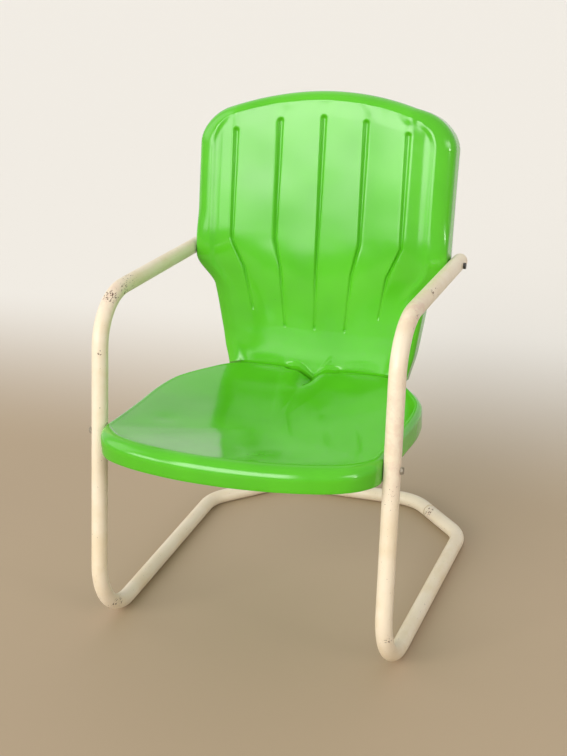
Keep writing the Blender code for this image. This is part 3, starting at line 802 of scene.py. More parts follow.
@dataclass
class BackShell:
    """The pressed, grooved back with its raised rim, deep side walls and lower flange."""

    finish: bpy.types.Material
    seat: SeatPan
    top_z: float = 0.9004
    crown_r: float = 0.600
    corner_r: float = 0.074
    wide_half: float = 0.2525
    narrow_half: float = 0.2125
    foot_half: float = 0.1885
    half_at_arm: float = 0.2509
    foot_z: float = 0.385
    lip_gap: float = 0.0007
    cove_top_z: float = 0.4576
    waist_low_z: float = 0.525
    waist_high_z: float = 0.58745
    waist_z: float = 0.600
    waist_y: float = 0.1590
    bend_z: float = 0.572
    lower_slope: float = 0.109
    upper_slope: float = 0.2263
    waist_ease: float = 0.040
    hollow_depth: float = 0.0195
    edge_return: float = 0.0066
    border: float = 0.012
    border_rise: float = 0.0024
    rim_width: float = 0.034
    rim_top_width: float = 0.019
    rim_depth: float = 0.018
    rim_top_depth: float = 0.027
    rim_start: float = 0.45
    wall: float = 0.037
    wall_foot: float = 0.030
    hem: float = 0.003
    flange_drop: float = 0.040
    ledge_height: float = 0.005
    cove_bulge: float = 0.0010
    groove_outer_x: float = 0.1680
    groove_top_half: float = 0.0080
    groove_foot_half: float = 0.0040
    groove_depth: float = 0.0055
    groove_foot_depth: float = 0.0016
    groove_pip: float = 0.0016
    groove_outer_foot_z: float = 0.4877
    groove_top_drop: float = 0.025
    pillow: float = 0.0015
    sheet: float = 0.0012
    hollow_foot_reach: float = 0.76
    hollow_reach_run: tuple[float, float] = (0.480, 0.650)
    hollow_foot_share: float = 0.20
    hollow_foot_run: float = 0.08
    hollow_run: tuple[float, float] = (0.495, 0.645)
    border_run: tuple[float, float] = (0.500, 0.600)
    narrow_waist: float = 0.845
    narrow_foot: float = 0.720
    narrow_above: float = 0.025
    narrow_below: float = 0.030
    deep_run: tuple[float, float] = (0.50, 0.62)
    pip_reach: float = 0.0030
    cove_run: tuple[float, float] = (0.18, 0.72)
    rounder_run: tuple[float, float] = (0.62, 0.68)
    lean_run: tuple[float, float] = (0.33, 0.80)
    groove_columns: int = 7
    panel_columns: tuple[int, int] = (26, 14)
    edge_columns: int = 5
    corner_columns: int = 14
    corner_start: float = 0.28
    foot_rows: int = 26
    foot_spread: float = 1.4
    field_rows: tuple[tuple[int, float], ...] = ((30, 0.075), (58, 0.880), (34, 1.0))
    rim_steps: int = 16
    unevenness: float = 0.0006
    crest_height: float = 0.0015
    dent_depth: float = 0.0006
    dent_place: tuple[float, float] = (0.164, 0.014)
    dent_size: tuple[float, float] = (0.018, 0.008)
    pleat_low: tuple[float, float] = (0.0080, 0.3720)
    pleat_high: tuple[float, float] = (0.0330, 0.4030)
    pleat_height: float = 0.0009
    pleat_reach: float = 0.0032

    def half_width(self, z: float) -> float:
        """Return the shell's half width.

        Args:
            z: The height, below the crown.

        Returns:
            The half width there.
        """
        if z <= self.waist_low_z:
            share = (z - self.foot_z) / (self.waist_low_z - self.foot_z)
            return mix(self.foot_half, self.narrow_half, share)
        if z <= self.waist_high_z:
            return mix(self.narrow_half, self.half_at_arm, ramp(z, self.waist_low_z, self.waist_high_z))
        share = (z - self.waist_high_z) / (self.top_z - self.corner_r - self.waist_high_z)
        return mix(self.half_at_arm, self.wide_half, min(1.0, share))

    def field_top(self, x: float) -> float:
        """Return the height of the rim's inner edge.

        Args:
            x: The distance from the middle.

        Returns:
            The height there.
        """
        radius = self.corner_r - self.rim_width
        start = self.wide_half - self.corner_r
        crown = self.top_z - self.rim_top_width - x * x / (2 * self.crown_r)
        beyond = min(radius, max(0.0, x - start))
        return crown - radius + math.sqrt(radius * radius - beyond * beyond)

    def narrowing(self, z: float) -> float:
        """Return how far the grooves have drawn in.

        Args:
            z: The height.

        Returns:
            Their spacing there, as a share of the spacing at the top.
        """
        low = self.waist_z - self.narrow_below
        high = self.waist_z + self.narrow_above
        if z >= high:
            return 1.0
        if z >= low:
            return mix(self.narrow_waist, 1.0, (z - low) / (high - low))
        share = max(0.0, (z - self.cove_top_z) / (low - self.cove_top_z))
        return mix(self.narrow_foot, self.narrow_waist, share)

    def middle_y(self, z: float) -> float:
        """Return the depth of the back's middle, eased at the waist.

        Args:
            z: The height.

        Returns:
            The middle's y there.
        """
        rise = z - self.bend_z
        ease = self.waist_ease
        low = self.waist_y + (self.bend_z - self.waist_z) * self.upper_slope
        if rise <= -ease:
            bend = 0.0
        elif rise >= ease:
            bend = rise
        else:
            bend = (rise + ease) ** 2 / (4 * ease)
        return low + rise * self.lower_slope + bend * (self.upper_slope - self.lower_slope)

    def hollow(self, x: float, z: float) -> float:
        """Return how far forward of its middle the field stands.

        Args:
            x: The distance from the middle.
            z: The height.

        Returns:
            The distance forward.
        """
        wide = ramp(z, *self.hollow_reach_run)
        reach = self.groove_outer_x * mix(self.hollow_foot_reach, 1.0, wide)
        low = smooth((z - self.cove_top_z) / self.hollow_foot_run)
        share = mix(ramp(z, *self.hollow_run), low, self.hollow_foot_share)
        if x <= reach:
            return share * self.hollow_depth * (x / reach) ** 2
        run = max(0.012, self.half_width(z) - self.rim_width - self.border - reach)
        beyond = eased((x - reach) / run, 0.25)
        return share * (self.hollow_depth - self.edge_return * beyond)

    def border_lift(self, x: float, z: float) -> float:
        """Return how far forward the field curves up where it meets the rim.

        Args:
            x: The distance from the middle.
            z: The height.

        Returns:
            The distance forward.
        """
        corner = self.corner_r - self.rim_width
        crown = self.top_z - self.rim_top_width - x * x / (2 * self.crown_r)
        aside = x - self.half_width(z) + self.rim_width + corner
        above = z - crown + corner
        if aside > 0 and above > 0:
            within = corner - math.hypot(aside, above)
            sideways = smooth(aside / math.hypot(aside, above))
        else:
            within = corner - max(aside, above)
            sideways = 1.0 if aside > above else 0.0
        raised = sideways * ramp(z, *self.border_run)
        return raised * self.border_rise * smooth(1.0 - within / self.border)

    def groove_half(self, z: float) -> float:
        """Return the half width of a groove at a height."""
        tall = ramp(z, self.cove_top_z, self.top_z)
        return mix(self.groove_foot_half, self.groove_top_half, tall)

    def groove(self, x: float, z: float) -> float:
        """Return how deep a place lies in one of the grooves.

        Args:
            x: The distance from the middle.
            z: The height.

        Returns:
            The distance backward.
        """
        step = self.groove_outer_x / 2 * self.narrowing(z)
        index = min(2, round(x / step))
        centre = index * step
        half = self.groove_half(z)
        foot = (self.groove_outer_foot_z if index == 2 else self.cove_top_z) + half
        head = self.field_top(centre) - self.groove_top_drop - half
        beyond = max(0.0, foot - z, z - head)
        away = math.hypot(x - centre, beyond) / half
        depth = mix(self.groove_foot_depth, self.groove_depth, ramp(z, *self.deep_run))
        pip = self.groove_pip * math.exp(-(math.hypot(x - centre, z - foot) / self.pip_reach) ** 2)
        return depth * (0.5 + 0.5 * math.cos(math.pi * min(1.0, away))) + pip

    def columns(self) -> list[Column]:
        """Lay out the columns of the half field.

        Returns:
            The columns from the middle outwards.
        """
        grooves = self.groove_columns
        columns = [Column(Strip.GROOVE, 0, step / grooves) for step in range(grooves + 1)]
        for index, count in enumerate(self.panel_columns):
            columns += [Column(Strip.PANEL, index, step / count) for step in range(1, count)]
            for step in range(-grooves, grooves + 1):
                columns.append(Column(Strip.GROOVE, index + 1, step / grooves))
        for strip, count in ((Strip.EDGE, self.edge_columns), (Strip.CORNER, self.corner_columns)):
            columns += [Column(strip, 0, step / count) for step in range(1, count + 1)]
        return columns

    def column_x(self, column: Column, z: float) -> float:
        """Return where a column stands.

        Args:
            column: The column.
            z: The height.

        Returns:
            Its distance from the middle.
        """
        z = min(z, self.top_z - self.corner_r)
        step = self.groove_outer_x / 2 * self.narrowing(z)
        half = self.groove_half(z)
        if column.strip is Strip.GROOVE:
            return column.index * step + column.share * half
        if column.strip is Strip.PANEL:
            return mix(column.index * step + half, (column.index + 1) * step - half, column.share)
        inner = 2 * step + half
        outer = self.half_width(z) - self.rim_width
        start = mix(inner, outer, self.corner_start)
        if column.strip is Strip.EDGE:
            return mix(inner, start, column.share)
        middle = outer - (self.corner_r - self.rim_width)
        first = math.asin(max(0.0, start - middle) / (outer - middle))
        turned = middle + (outer - middle) * math.sin(mix(first, math.pi / 2, column.share))
        tall = smooth((z - self.waist_z) / 0.15)
        return mix(mix(start, outer, column.share), turned, tall)

    def rows(self) -> list[tuple[bool, float]]:
        """Lay out the rows of the field.

        Returns:
            For each row, whether it is in the foot, and its share of the foot's or field's height.
        """
        rows = [(True, (step / self.foot_rows) ** self.foot_spread) for step in range(self.foot_rows)]
        shares = [0.0]
        for count, end in self.field_rows:
            first = shares[-1]
            shares += [mix(first, end, step / count) for step in range(1, count + 1)]
        return rows + [(False, share) for share in shares]

    def field_point(self, column: Column, row: tuple[bool, float]) -> Vector:
        """Return a point of the pressed field.

        Args:
            column: The column.
            row: The row, as rows() gives it.

        Returns:
            The point on the sheet's front face.
        """
        in_foot, share = row
        if in_foot:
            x = self.column_x(column, mix(self.foot_z, self.cove_top_z, share))
            lip_z = self.foot_z - self.seat.cleft(x, self.seat.rear_edge_y(x))
            z = mix(lip_z, self.cove_top_z, share)
        else:
            top_x = self.column_x(column, self.top_z)
            z = mix(self.cove_top_z, self.field_top(top_x), share)
            x = self.column_x(column, z)
        y = self.middle_y(z) - self.hollow(x, z) - self.border_lift(x, z) + self.groove(x, z)
        if column.strip is Strip.PANEL and z > self.cove_top_z:
            rise = smooth((z - self.cove_top_z) / 0.06) * smooth((self.field_top(x) - z) / 0.03)
            y -= self.pillow * rise * math.sin(math.pi * column.share)
        if in_foot:
            y -= self.cove(x, z, share)
        return Vector((x, y, z))

    def cove(self, x: float, z: float, share: float) -> float:
        """Return how far forward the foot sweeps to reach the seat's edge.

        Args:
            x: The distance from the middle.
            z: The height.
            share: The share of the foot's height.

        Returns:
            The sweep, which is the whole reach to the seat at the lip.
        """
        straight = self.seat.rear_y + self.lip_gap
        notch = self.seat.rear_y - self.seat.rear_edge_y(x)
        lip_z = self.foot_z - self.seat.cleft(x, self.seat.rear_edge_y(x))
        low, high = self.cove_run
        fall = 1.0 - eased((share - low) / (high - low), 0.25)
        bulge = self.cove_bulge * (1.0 - fall - eased((share - high) / (1.0 - high), 0.3))
        ledge = 0.5 * (1.0 - eased((z - lip_z) / self.ledge_height, 0.15))
        outer = smooth((x - 0.050) / 0.030)
        reach = self.middle_y(self.foot_z) - straight
        return reach * fall + notch * mix(ledge, (1.0 - share) ** 4, outer) - bulge

    def rim_profile(self, z: float) -> list[tuple[float, float]]:
        """Return the section of the rim, its side wall and its curled hem.

        Args:
            z: The height.

        Returns:
            The section's points as (outward, backward) steps from the field's edge.
        """
        rounder = ramp(z, *self.rounder_run)
        deep = mix(self.rim_depth, self.rim_top_depth, rounder)
        first = self.rim_start
        steps = []
        for step in range(1, self.rim_steps + 1):
            turn = mix(first, math.pi / 2, step / self.rim_steps)
            outward = (math.sin(turn) - math.sin(first)) / (1.0 - math.sin(first))
            steps.append((self.rim_width * outward, deep * (1.0 - math.cos(turn) / math.cos(first))))
        depth = steps[-1][1]
        tall = ramp(z, self.waist_low_z, self.waist_high_z)
        wall = mix(self.wall_foot, self.wall, tall) - (self.rim_top_depth - self.rim_depth) * rounder
        steps += [(self.rim_width, depth + wall * share) for share in (0.25, 0.5, 0.75, 0.96)]
        end = depth + wall
        for inward, beyond in ((0.12, 0.10), (0.50, 0.35), (1.0, 0.40)):
            steps.append((self.rim_width - self.hem * inward, end + self.hem * beyond))
        return steps

    def rim_rings(self, grid: list[list[Vector]]) -> list[list[Vector]]:
        """Return the rings of the rim and walls round the field's boundary.

        Args:
            grid: The field's points by row and column.

        Returns:
            The rings, the first one being the boundary itself.
        """
        edge = [(Bound.FOOT, point) for point in grid[0][:-1]]
        edge += [(Bound.SIDE, row[-1]) for row in grid]
        edge += [(Bound.TOP, point) for point in reversed(grid[-1][:-1])]
        places = [point for _, point in edge]
        corner = grid[0][-1]
        count = len(self.rim_profile(self.waist_z))
        rings = [list(places)]
        for step in range(count):
            ring = []
            for index, (bound, place) in enumerate(edge):
                before = places[index - 1] if index else mirrored(places[1])
                after = places[index + 1] if index + 1 < len(edge) else mirrored(places[-2])
                tangent = Vector((after.x - before.x, after.z - before.z)).normalized()
                out = Vector((tangent.y, -tangent.x)) if bound is Bound.TOP else Vector((1.0, 0.0))
                side = self.rim_offset(place, out, step)
                drop = Vector((0.0, 0.0, -self.flange_drop * (step + 1) / count))
                turned = side * 0.8 + drop * 0.5
                if bound is Bound.FOOT:
                    offset = drop.lerp(turned, smooth(1.0 - (corner.x - place.x) / 0.020))
                elif bound is Bound.SIDE:
                    offset = turned.lerp(side, smooth((place.z - corner.z) / 0.030))
                else:
                    offset = side
                point = place + offset
                if index in (0, len(edge) - 1):
                    point.x = 0.0
                ring.append(point)
            rings.append(ring)
        return rings

    def rim_offset(self, place: Vector, out: Vector, step: int) -> Vector:
        """Return how far a point of the rim lies from the field's edge.

        Args:
            place: The edge's point.
            out: The direction away from the field, in the plane of x and z.
            step: The number of the rim profile's point.

        Returns:
            The offset from the edge's point.
        """
        outward, backward = self.rim_profile(place.z)[step]
        first_turn = math.atan((self.wide_half - self.corner_r) / self.crown_r)
        widening = ramp(math.atan2(out.x, out.y), first_turn, math.pi / 2)
        outward *= mix(self.rim_top_width / self.rim_width, 1.0, widening)
        leaning = (place.z - self.waist_z) / (self.top_z - self.waist_z)
        lean = self.upper_slope * ramp(leaning, *self.lean_run)
        return Vector((
            out.x * outward,
            backward + out.y * outward * self.upper_slope,
            out.y * outward - backward * lean,
        ))

    def build(self) -> None:
        """Build the back."""
        columns, rows = self.columns(), self.rows()
        grid = [[self.field_point(column, row) for column in columns] for row in rows]
        shell = lay_grid(
            "back_shell_pressed", len(columns), len(rows), lambda column, row: grid[row][column]
        )
        rings = self.rim_rings(grid)
        rim = lay_grid("back_rim", len(rings[0]), len(rings), lambda column, row: rings[row][column])
        join(shell, rim)
        clean_mesh(shell)
        apply_modifier(shell, "MIRROR", use_clip=True, merge_threshold=0.0001)
        clean_mesh(shell)
        self.wave(shell)
        apply_modifier(shell, "SOLIDIFY", thickness=self.sheet, offset=-1.0, use_even_offset=True)
        dress(shell, self.finish, "back_shell")

    def wave(self, shell: bpy.types.Object) -> None:
        """Give the sheet its unevenness, the dent by the right groove and the cleft's pleat.

        Args:
            shell: The back, still without its sheet's thickness.
        """
        for vert in shell.data.vertices:
            x, y, z = vert.co
            free = smooth((z - self.foot_z - 0.02) / 0.05) * smooth((0.235 - abs(x)) / 0.02)
            vert.co.y += noise.noise(vert.co * 12.0) * self.unevenness * free
            below = self.field_top(min(abs(x), self.wide_half - self.rim_width)) - z
            crest = math.exp(-(((below - 0.006) / 0.011) ** 2)) * smooth((0.225 - abs(x)) / 0.02)
            swell = noise.noise(Vector((x * 42.0, 3.7, z * 16.0)))
            vert.co.y += swell * self.crest_height * crest * free
            if y < 0.30:
                dent = math.hypot(
                    (x - self.dent_place[0]) / self.dent_size[0],
                    (below - self.dent_place[1]) / self.dent_size[1],
                )
                vert.co.y += self.dent_depth * math.exp(-(dent**2))
            if y < 0.15:
                vert.co.y -= self.pleat(x, z)

    def pleat(self, x: float, z: float) -> float:
        """Return how far the pleat beside the cleft stands out.

        Args:
            x: The distance from the middle, towards +X.
            z: The height.

        Returns:
            The distance forward.
        """
        low = Vector(self.pleat_low)
        run = Vector(self.pleat_high) - low
        place = Vector((x, z)) - low
        share = min(1.0, max(0.0, place.dot(run) / run.length_squared))
        away = (place - run * share).length / self.pleat_reach
        return self.pleat_height * math.exp(-(away**2)) * smooth(share * 4)


# Frame


@dataclass(frozen=True)
class Bend:
    """A corner of a tube's centre line with the radius it is bent to."""

    corner: Vector
    radius: float


@dataclass
class TubeFrame:
    """The two bent tubes that plug together in a rear diagonal, and the arms' end caps."""

    finish: bpy.types.Material
    radius: float = 0.0143
    wall: float = 0.0016
    sides: int = 48
    floor_z: float = 0.014025
    leg_half: float = 0.2623
    arm_front_half: float = 0.2630
    arm_end_half: float = 0.2658
    corner_half: float = 0.2767
    crossbar_half: float = 0.1513
    leg_foot_y: float = -0.3085
    arm_front_y: float = -0.2059
    arm_end_y: float = 0.2035
    corner_y: float = 0.2224
    crossbar_y: float = 0.351475
    arm_front_z: float = 0.6012
    arm_end_z: float = 0.5966
    arm_bend: float = 0.100
    foot_bend: float = 0.100
    corner_bend: float = 0.070
    crossbar_bend: float = 0.090
    joint_run: float = 0.122
    spigot: float = 0.018
    neck: float = 0.006
    gap: float = 0.0003
    cap_dome: float = 0.0095
    bend_steps: int = 18
    dome_steps: int = 8

    def __post_init__(self) -> None:
        """Place the corners of the +X half of the centre line."""
        self.arm_end = Vector((self.arm_end_half, self.arm_end_y, self.arm_end_z))
        self.arm_front = Vector((self.arm_front_half, self.arm_front_y, self.arm_front_z))
        self.leg_foot = Vector((self.leg_half, self.leg_foot_y, self.floor_z))
        self.base_corner = Vector((self.corner_half, self.corner_y, self.floor_z))
        self.crossbar_end = Vector((self.crossbar_half, self.crossbar_y, self.floor_z))

    def draw(self, name: str, start: Vector, bends: Sequence[Bend], end: Vector) -> bpy.types.Object:
        """Draw a ring along straights and swing it round the centre of each bend.

        Args:
            name: The piece's name.
            start: The centre line's first point.
            bends: Its corners in order.
            end: Its last point.

        Returns:
            The open tube, in edit mode with its last ring selected.
        """
        heading = ((bends[0].corner if bends else end) - start).normalized()
        deselect()
        bpy.ops.mesh.primitive_circle_add(
            vertices=self.sides,
            radius=self.radius,
            location=start,
            rotation=heading.to_track_quat("Z", "Y").to_euler(),
        )
        pipe = bpy.context.object
        pipe.name = name
        pipe.data.name = name
        settle(pipe)
        bpy.ops.object.mode_set(mode="EDIT")
        bpy.ops.mesh.select_all(action="SELECT")
        here = start
        stops = [bend.corner for bend in bends] + [end]
        for bend, following in zip(bends, stops[1:]):
            back = (here - bend.corner).normalized()
            ahead = (following - bend.corner).normalized()
            half = back.angle(ahead) / 2
            tangent = bend.corner + back * (bend.radius / math.tan(half))
            self.extrude(tangent - here)
            centre = bend.corner + (back + ahead).normalized() * (bend.radius / math.sin(half))
            axis = back.cross(ahead).normalized()
            bpy.ops.mesh.spin(steps=self.bend_steps, angle=math.pi - 2 * half, center=centre, axis=axis)
            here = bend.corner + ahead * (bend.radius / math.tan(half))
        self.extrude(end - here)
        return pipe

    @staticmethod
    def extrude(step: Vector) -> None:
        """Draw the selected ring out by a step."""
        bpy.ops.mesh.extrude_region_move(TRANSFORM_OT_translate={"value": step})

    def close(self, pipe: bpy.types.Object, node: str) -> None:
        """Give a drawn tube its wall and finish, and set it down on the floor.

        Args:
            pipe: The open tube.
            node: The solid that it stands for.
        """
        bpy.ops.object.mode_set(mode="OBJECT")
        clean_mesh(pipe)
        for vert in pipe.data.vertices:
            vert.co.z = max(vert.co.z, 0.0)
        apply_modifier(pipe, "SOLIDIFY", thickness=self.wall, offset=-1.0, use_even_offset=True)
        dress(pipe, self.finish, node)

    def tubes(self) -> None:
        """Build the long tube with the crossbar, and the short one that plugs into it."""
        diagonal = (self.crossbar_end - self.base_corner).normalized()
        joint = self.base_corner + diagonal * self.joint_run
        right = [
            Bend(self.arm_front, self.arm_bend),
            Bend(self.leg_foot, self.foot_bend),
            Bend(self.base_corner, self.corner_bend),
        ]
        left = [Bend(mirrored(bend.corner), bend.radius) for bend in right]
        left += [
            Bend(mirrored(self.crossbar_end), self.crossbar_bend),
            Bend(self.crossbar_end, self.crossbar_bend),
        ]
        long_tube = self.draw("frame_tube_long_painted", mirrored(self.arm_end), left, joint)
        self.close(long_tube, "frame_tube_long")

        neck = joint - diagonal * self.neck
        mouth = joint - diagonal * (self.neck * 0.15)
        short_tube = self.draw("frame_tube_short_painted", self.arm_end, right, neck)
        share = (self.radius - self.wall - self.gap) / self.radius
        self.extrude(mouth - neck)
        bpy.ops.transform.resize(value=(share, share, share), center_override=mouth)
        self.extrude(diagonal * (self.neck * 0.15 + self.spigot))
        self.close(short_tube, "frame_tube_short")

    def caps(self) -> None:
        """Build the domed caps that close the rear ends of the arms."""
        for side in Side:
            end = self.arm_end if side is Side.RIGHT else mirrored(self.arm_end)
            front = self.arm_front if side is Side.RIGHT else mirrored(self.arm_front)
            heading = (end - front).normalized()
            base = end + heading * self.gap
            deselect()
            bpy.ops.mesh.primitive_circle_add(
                vertices=self.sides,
                radius=self.radius - self.wall - self.gap,
                fill_type="NGON",
                location=base - heading * self.cap_dome,
                rotation=heading.to_track_quat("Z", "Y").to_euler(),
            )
            cap = bpy.context.object
            cap.name = f"arm_end_cap_{side.word}_domed"
            settle(cap)
            self.dome(base, heading)
            clean_mesh(cap)
            dress(cap, self.finish, f"arm_end_cap_{side.word}")

    def dome(self, base: Vector, heading: Vector) -> None:
        """Draw the active disc out as a cap's plug and dome.

        Args:
            base: The middle of the tube's mouth.
            heading: The direction in which the dome stands out.
        """
        bpy.ops.object.mode_set(mode="EDIT")
        bpy.ops.mesh.select_all(action="SELECT")
        self.extrude(heading * self.cap_dome)
        current = self.radius - self.wall - self.gap
        here = base
        for step in range(self.dome_steps + 1):
            turn = math.pi / 2 * step / (self.dome_steps + 1)
            there = base + heading * (self.cap_dome * math.sin(turn))
            self.extrude(there - here)
            share = self.radius * math.cos(turn) / current
            bpy.ops.transform.resize(value=(share, share, share), center_override=there)
            current, here = self.radius * math.cos(turn), there
        bpy.ops.mesh.merge(type="CENTER")
        bpy.ops.object.mode_set(mode="OBJECT")


# Fasteners


@dataclass
class Fasteners:
    """The hex bolts, washers and nuts, each modelled once and copied to its places."""

    rusty: bpy.types.Material
    dark: bpy.types.Material
    tubes: TubeFrame
    seat: SeatPan
    back: BackShell
    shank: float = 0.003
    flats: float = 0.011
    head: float = 0.0042
    nut: float = 0.005
    washer_r: float = 0.0078
    washer: float = 0.0012
    clearance: float = 0.0004
    gap: float = 0.0003
    pad_gap: float = 0.0002
    spare: float = 0.0025
    pitch: float = 0.001
    thread_start: float = 0.4
    thread_end: float = 0.0006
    thread_root: float = 0.88
    thread_cuts: int = 24
    seat_bolt_z: float = 0.3728
    arm_bolt_y: float = 0.1719
    rear_bolt_x: tuple[float, float] = (0.078, 0.112)
    rear_bolt_z: float = 0.3575

    def hexagon(self, name: str, height: float, both: bool) -> bpy.types.Object:
        """Return a hexagonal block on z = 0 with its corners turned off.

        Args:
            name: The object's name.
            height: The block's height.
            both: Whether both ends are turned, or the far one only.

        Returns:
            The block.
        """
        deselect()
        corner = self.flats / 2 / math.cos(math.pi / 6)
        bpy.ops.mesh.primitive_cylinder_add(
            vertices=6, radius=corner, depth=height, location=(0.0, 0.0, height / 2)
        )
        block = bpy.context.object
        block.name = name
        settle(block)
        self.turn_corners(block, height, both)
        return block

    def turn_corners(self, block: bpy.types.Object, height: float, both: bool) -> None:
        """Cut the block's sharp corners to a cone, as on a turned bolt head.

        Args:
            block: The hexagonal block.
            height: Its height.
            both: Whether both ends are turned, or the far one only.
        """
        deselect()
        corner = self.flats / 2 / math.cos(math.pi / 6)
        bpy.ops.mesh.primitive_cylinder_add(
            vertices=36, radius=corner * 1.002, depth=height * 1.001, location=(0.0, 0.0, height / 2)
        )
        stock = bpy.context.object
        settle(stock)
        mesh = bmesh.new()
        mesh.from_mesh(stock.data)
        ends = [height] + ([0.0] if both else [])
        edges = [
            edge
            for edge in mesh.edges
            if any(all(abs(v.co.z - end) < 0.0001 for v in edge.verts) for end in ends)
        ]
        bmesh.ops.bevel(
            mesh,
            geom=edges,
            offset=height * 0.16,
            offset_type="OFFSET",
            segments=3,
            profile=0.5,
            affect="EDGES",
        )
        mesh.to_mesh(stock.data)
        mesh.free()
        apply_modifier(block, "BOOLEAN", operation="INTERSECT", solver="EXACT", object=stock)
        bpy.data.objects.remove(stock)

    def bolt(self, name: str, length: float) -> bpy.types.Object:
        """Return a bolt with its head below z = 0 and its threaded end above.

        Args:
            name: The object's name.
            length: The shank's length.

        Returns:
            The bolt.
        """
        head = self.hexagon(name, self.head, False)
        head.data.transform(Matrix.Rotation(math.pi, 4, "X"))
        deselect()
        bpy.ops.mesh.primitive_cylinder_add(
            vertices=24, radius=self.shank, depth=length, location=(0.0, 0.0, length / 2)
        )
        shank = bpy.context.object
        settle(shank)
        self.thread(shank, length)
        apply_modifier(head, "BOOLEAN", operation="UNION", solver="EXACT", object=shank)
        bpy.data.objects.remove(shank)
        return head

    def thread(self, shank: bpy.types.Object, length: float) -> None:
        """Cut thread grooves round the free end of a shank.

        Args:
            shank: The plain shank.
            length: Its length.
        """
        step = self.pitch / 2
        first = length - self.thread_end
        last = length * self.thread_start
        bpy.ops.object.mode_set(mode="EDIT")
        for index in range(min(self.thread_cuts, int((first - last) / step) + 1)):
            bpy.ops.mesh.select_all(action="SELECT")
            bpy.ops.mesh.bisect(plane_co=(0.0, 0.0, first - index * step), plane_no=(0.0, 0.0, 1.0))
        bpy.ops.object.mode_set(mode="OBJECT")
        for vert in shank.data.vertices:
            place = (first - vert.co.z) / step
            whole = round(place)
            if whole % 2 == 1 and abs(place - whole) < 0.01 and last < vert.co.z < first:
                vert.co.x *= self.thread_root
                vert.co.y *= self.thread_root

    def bore(self, name: str, height: float, block: bpy.types.Object) -> bpy.types.Object:
        """Bore a block through along Z.

        Args:
            name: The bored piece's name.
            height: The block's height.
            block: The block.

        Returns:
            The bored block.
        """
        deselect()
        bpy.ops.mesh.primitive_cylinder_add(
            vertices=32,
            radius=self.shank + self.clearance,
            depth=height * 3,
            location=(0.0, 0.0, height / 2),
        )
        drill = bpy.context.object
        settle(drill)
        apply_modifier(block, "BOOLEAN", operation="DIFFERENCE", solver="EXACT", object=drill)
        bpy.data.objects.remove(drill)
        block.name = name
        return block

    def nut_piece(self) -> bpy.types.Object:
        """Return a bored hex nut on z = 0."""
        return self.bore("nut", self.nut, self.hexagon("nut", self.nut, True))

    def washer_piece(self) -> bpy.types.Object:
        """Model a flat washer on z = 0 with slightly rounded edges.

        Returns:
            The washer.
        """
        deselect()
        bpy.ops.mesh.primitive_cylinder_add(
            vertices=40, radius=self.washer_r, depth=self.washer, location=(0.0, 0.0, self.washer / 2)
        )
        disc = bpy.context.object
        settle(disc)
        washer = self.bore("washer", self.washer, disc)
        apply_modifier(washer, "BEVEL", width=0.0002, segments=2, limit_method="ANGLE")
        return washer

    def stand(
        self,
        pattern: bpy.types.Object,
        node: str,
        start: Vector,
        heading: Vector,
        offset: float,
        turn: float,
        rusted: bool,
    ) -> None:
        """Copy a pattern to its place, with its own mesh.

        Args:
            pattern: The piece that is copied.
            node: The solid that the copy stands for.
            start: The point from which it is placed.
            heading: The direction of its Z axis.
            offset: How far along that direction it stands.
            turn: Its turn about that direction, in degrees.
            rusted: Whether it has the rusty finish or the dark one.
        """
        piece = bpy.data.objects.new(f"{node}_steel", pattern.data.copy())
        bpy.context.scene.collection.objects.link(piece)
        upright = heading.to_track_quat("Z", "Y").to_matrix().to_4x4()
        spun = upright @ Matrix.Rotation(math.radians(turn), 4, "Z")
        piece.data.transform(Matrix.Translation(start + heading * offset) @ spun)
        finish, slot = (self.rusty, Slot.RUST) if rusted else (self.dark, Slot.STEEL)
        dress(piece, finish, node, 28.0)

    def build(self) -> None:
        """Build every fastener in its place."""
        flat = self.tubes.radius * math.cos(math.pi / 16)
        washer_at = 2 * flat + self.seat.sheet + 3 * self.gap
        nut_at = washer_at + self.washer + self.gap
        rear_nut_at = 2 * self.seat.sheet + self.back.lip_gap + 2 * self.gap
        long_bolt = self.bolt("long_bolt", nut_at + self.nut + self.spare)
        short_bolt = self.bolt("short_bolt", rear_nut_at + self.nut + self.spare)
        nut, washer = self.nut_piece(), self.washer_piece()
        seat_bolt = along(self.tubes.leg_foot, self.tubes.arm_front, 2, self.seat_bolt_z)
        arm_bolt = along(self.tubes.arm_front, self.tubes.arm_end, 1, self.arm_bolt_y)
        for word, centre, extra in (("seat", seat_bolt, 0.0), ("arm", arm_bolt, self.pad_gap)):
            for side in Side:
                start = Vector(((centre.x + flat + self.gap) * side.value, centre.y, centre.z))
                inward = Vector((-side.value, 0.0, 0.0))
                rusted = word == "seat"
                turn = 17.0 + 23.0 * side.value
                for kind, pattern, offset, spin in (
                    ("bolt", long_bolt, 0.0, turn),
                    ("washer", washer, washer_at + extra, 0.0),
                    ("nut", nut, nut_at + extra, turn * 2),
                ):
                    node = f"{word}_{kind}_{side.word}"
                    self.stand(pattern, node, start, inward, offset, spin, rusted)
        forward = Vector((0.0, -1.0, 0.0))
        for side in Side:
            for word, x in zip(("inner", "outer"), self.rear_bolt_x):
                y = self.seat.rear_edge_y(x) + self.seat.sheet + self.back.lip_gap + self.gap
                start = Vector((x * side.value, y, self.rear_bolt_z))
                place = f"{side.word}_{word}"
                self.stand(short_bolt, f"rear_bolt_{place}", start, forward, 0.0, x * 900, False)
                self.stand(nut, f"rear_nut_{place}", start, forward, rear_nut_at, x * 400, False)
        for pattern in (long_bolt, short_bolt, nut, washer):
            bpy.data.objects.remove(pattern)


# Studio


@dataclass(frozen=True)
class Glow:
    """A soft-edged patch of bright sky, placed by turn and height in degrees.

    The turn is counted from straight in front (-Y) towards the chair's left (-X). Each range
    gives where the patch begins, is full, is still full and ends.
    """

    name: str
    level: float
    turns: tuple[float, float, float, float]
    heights: tuple[float, float, float, float]


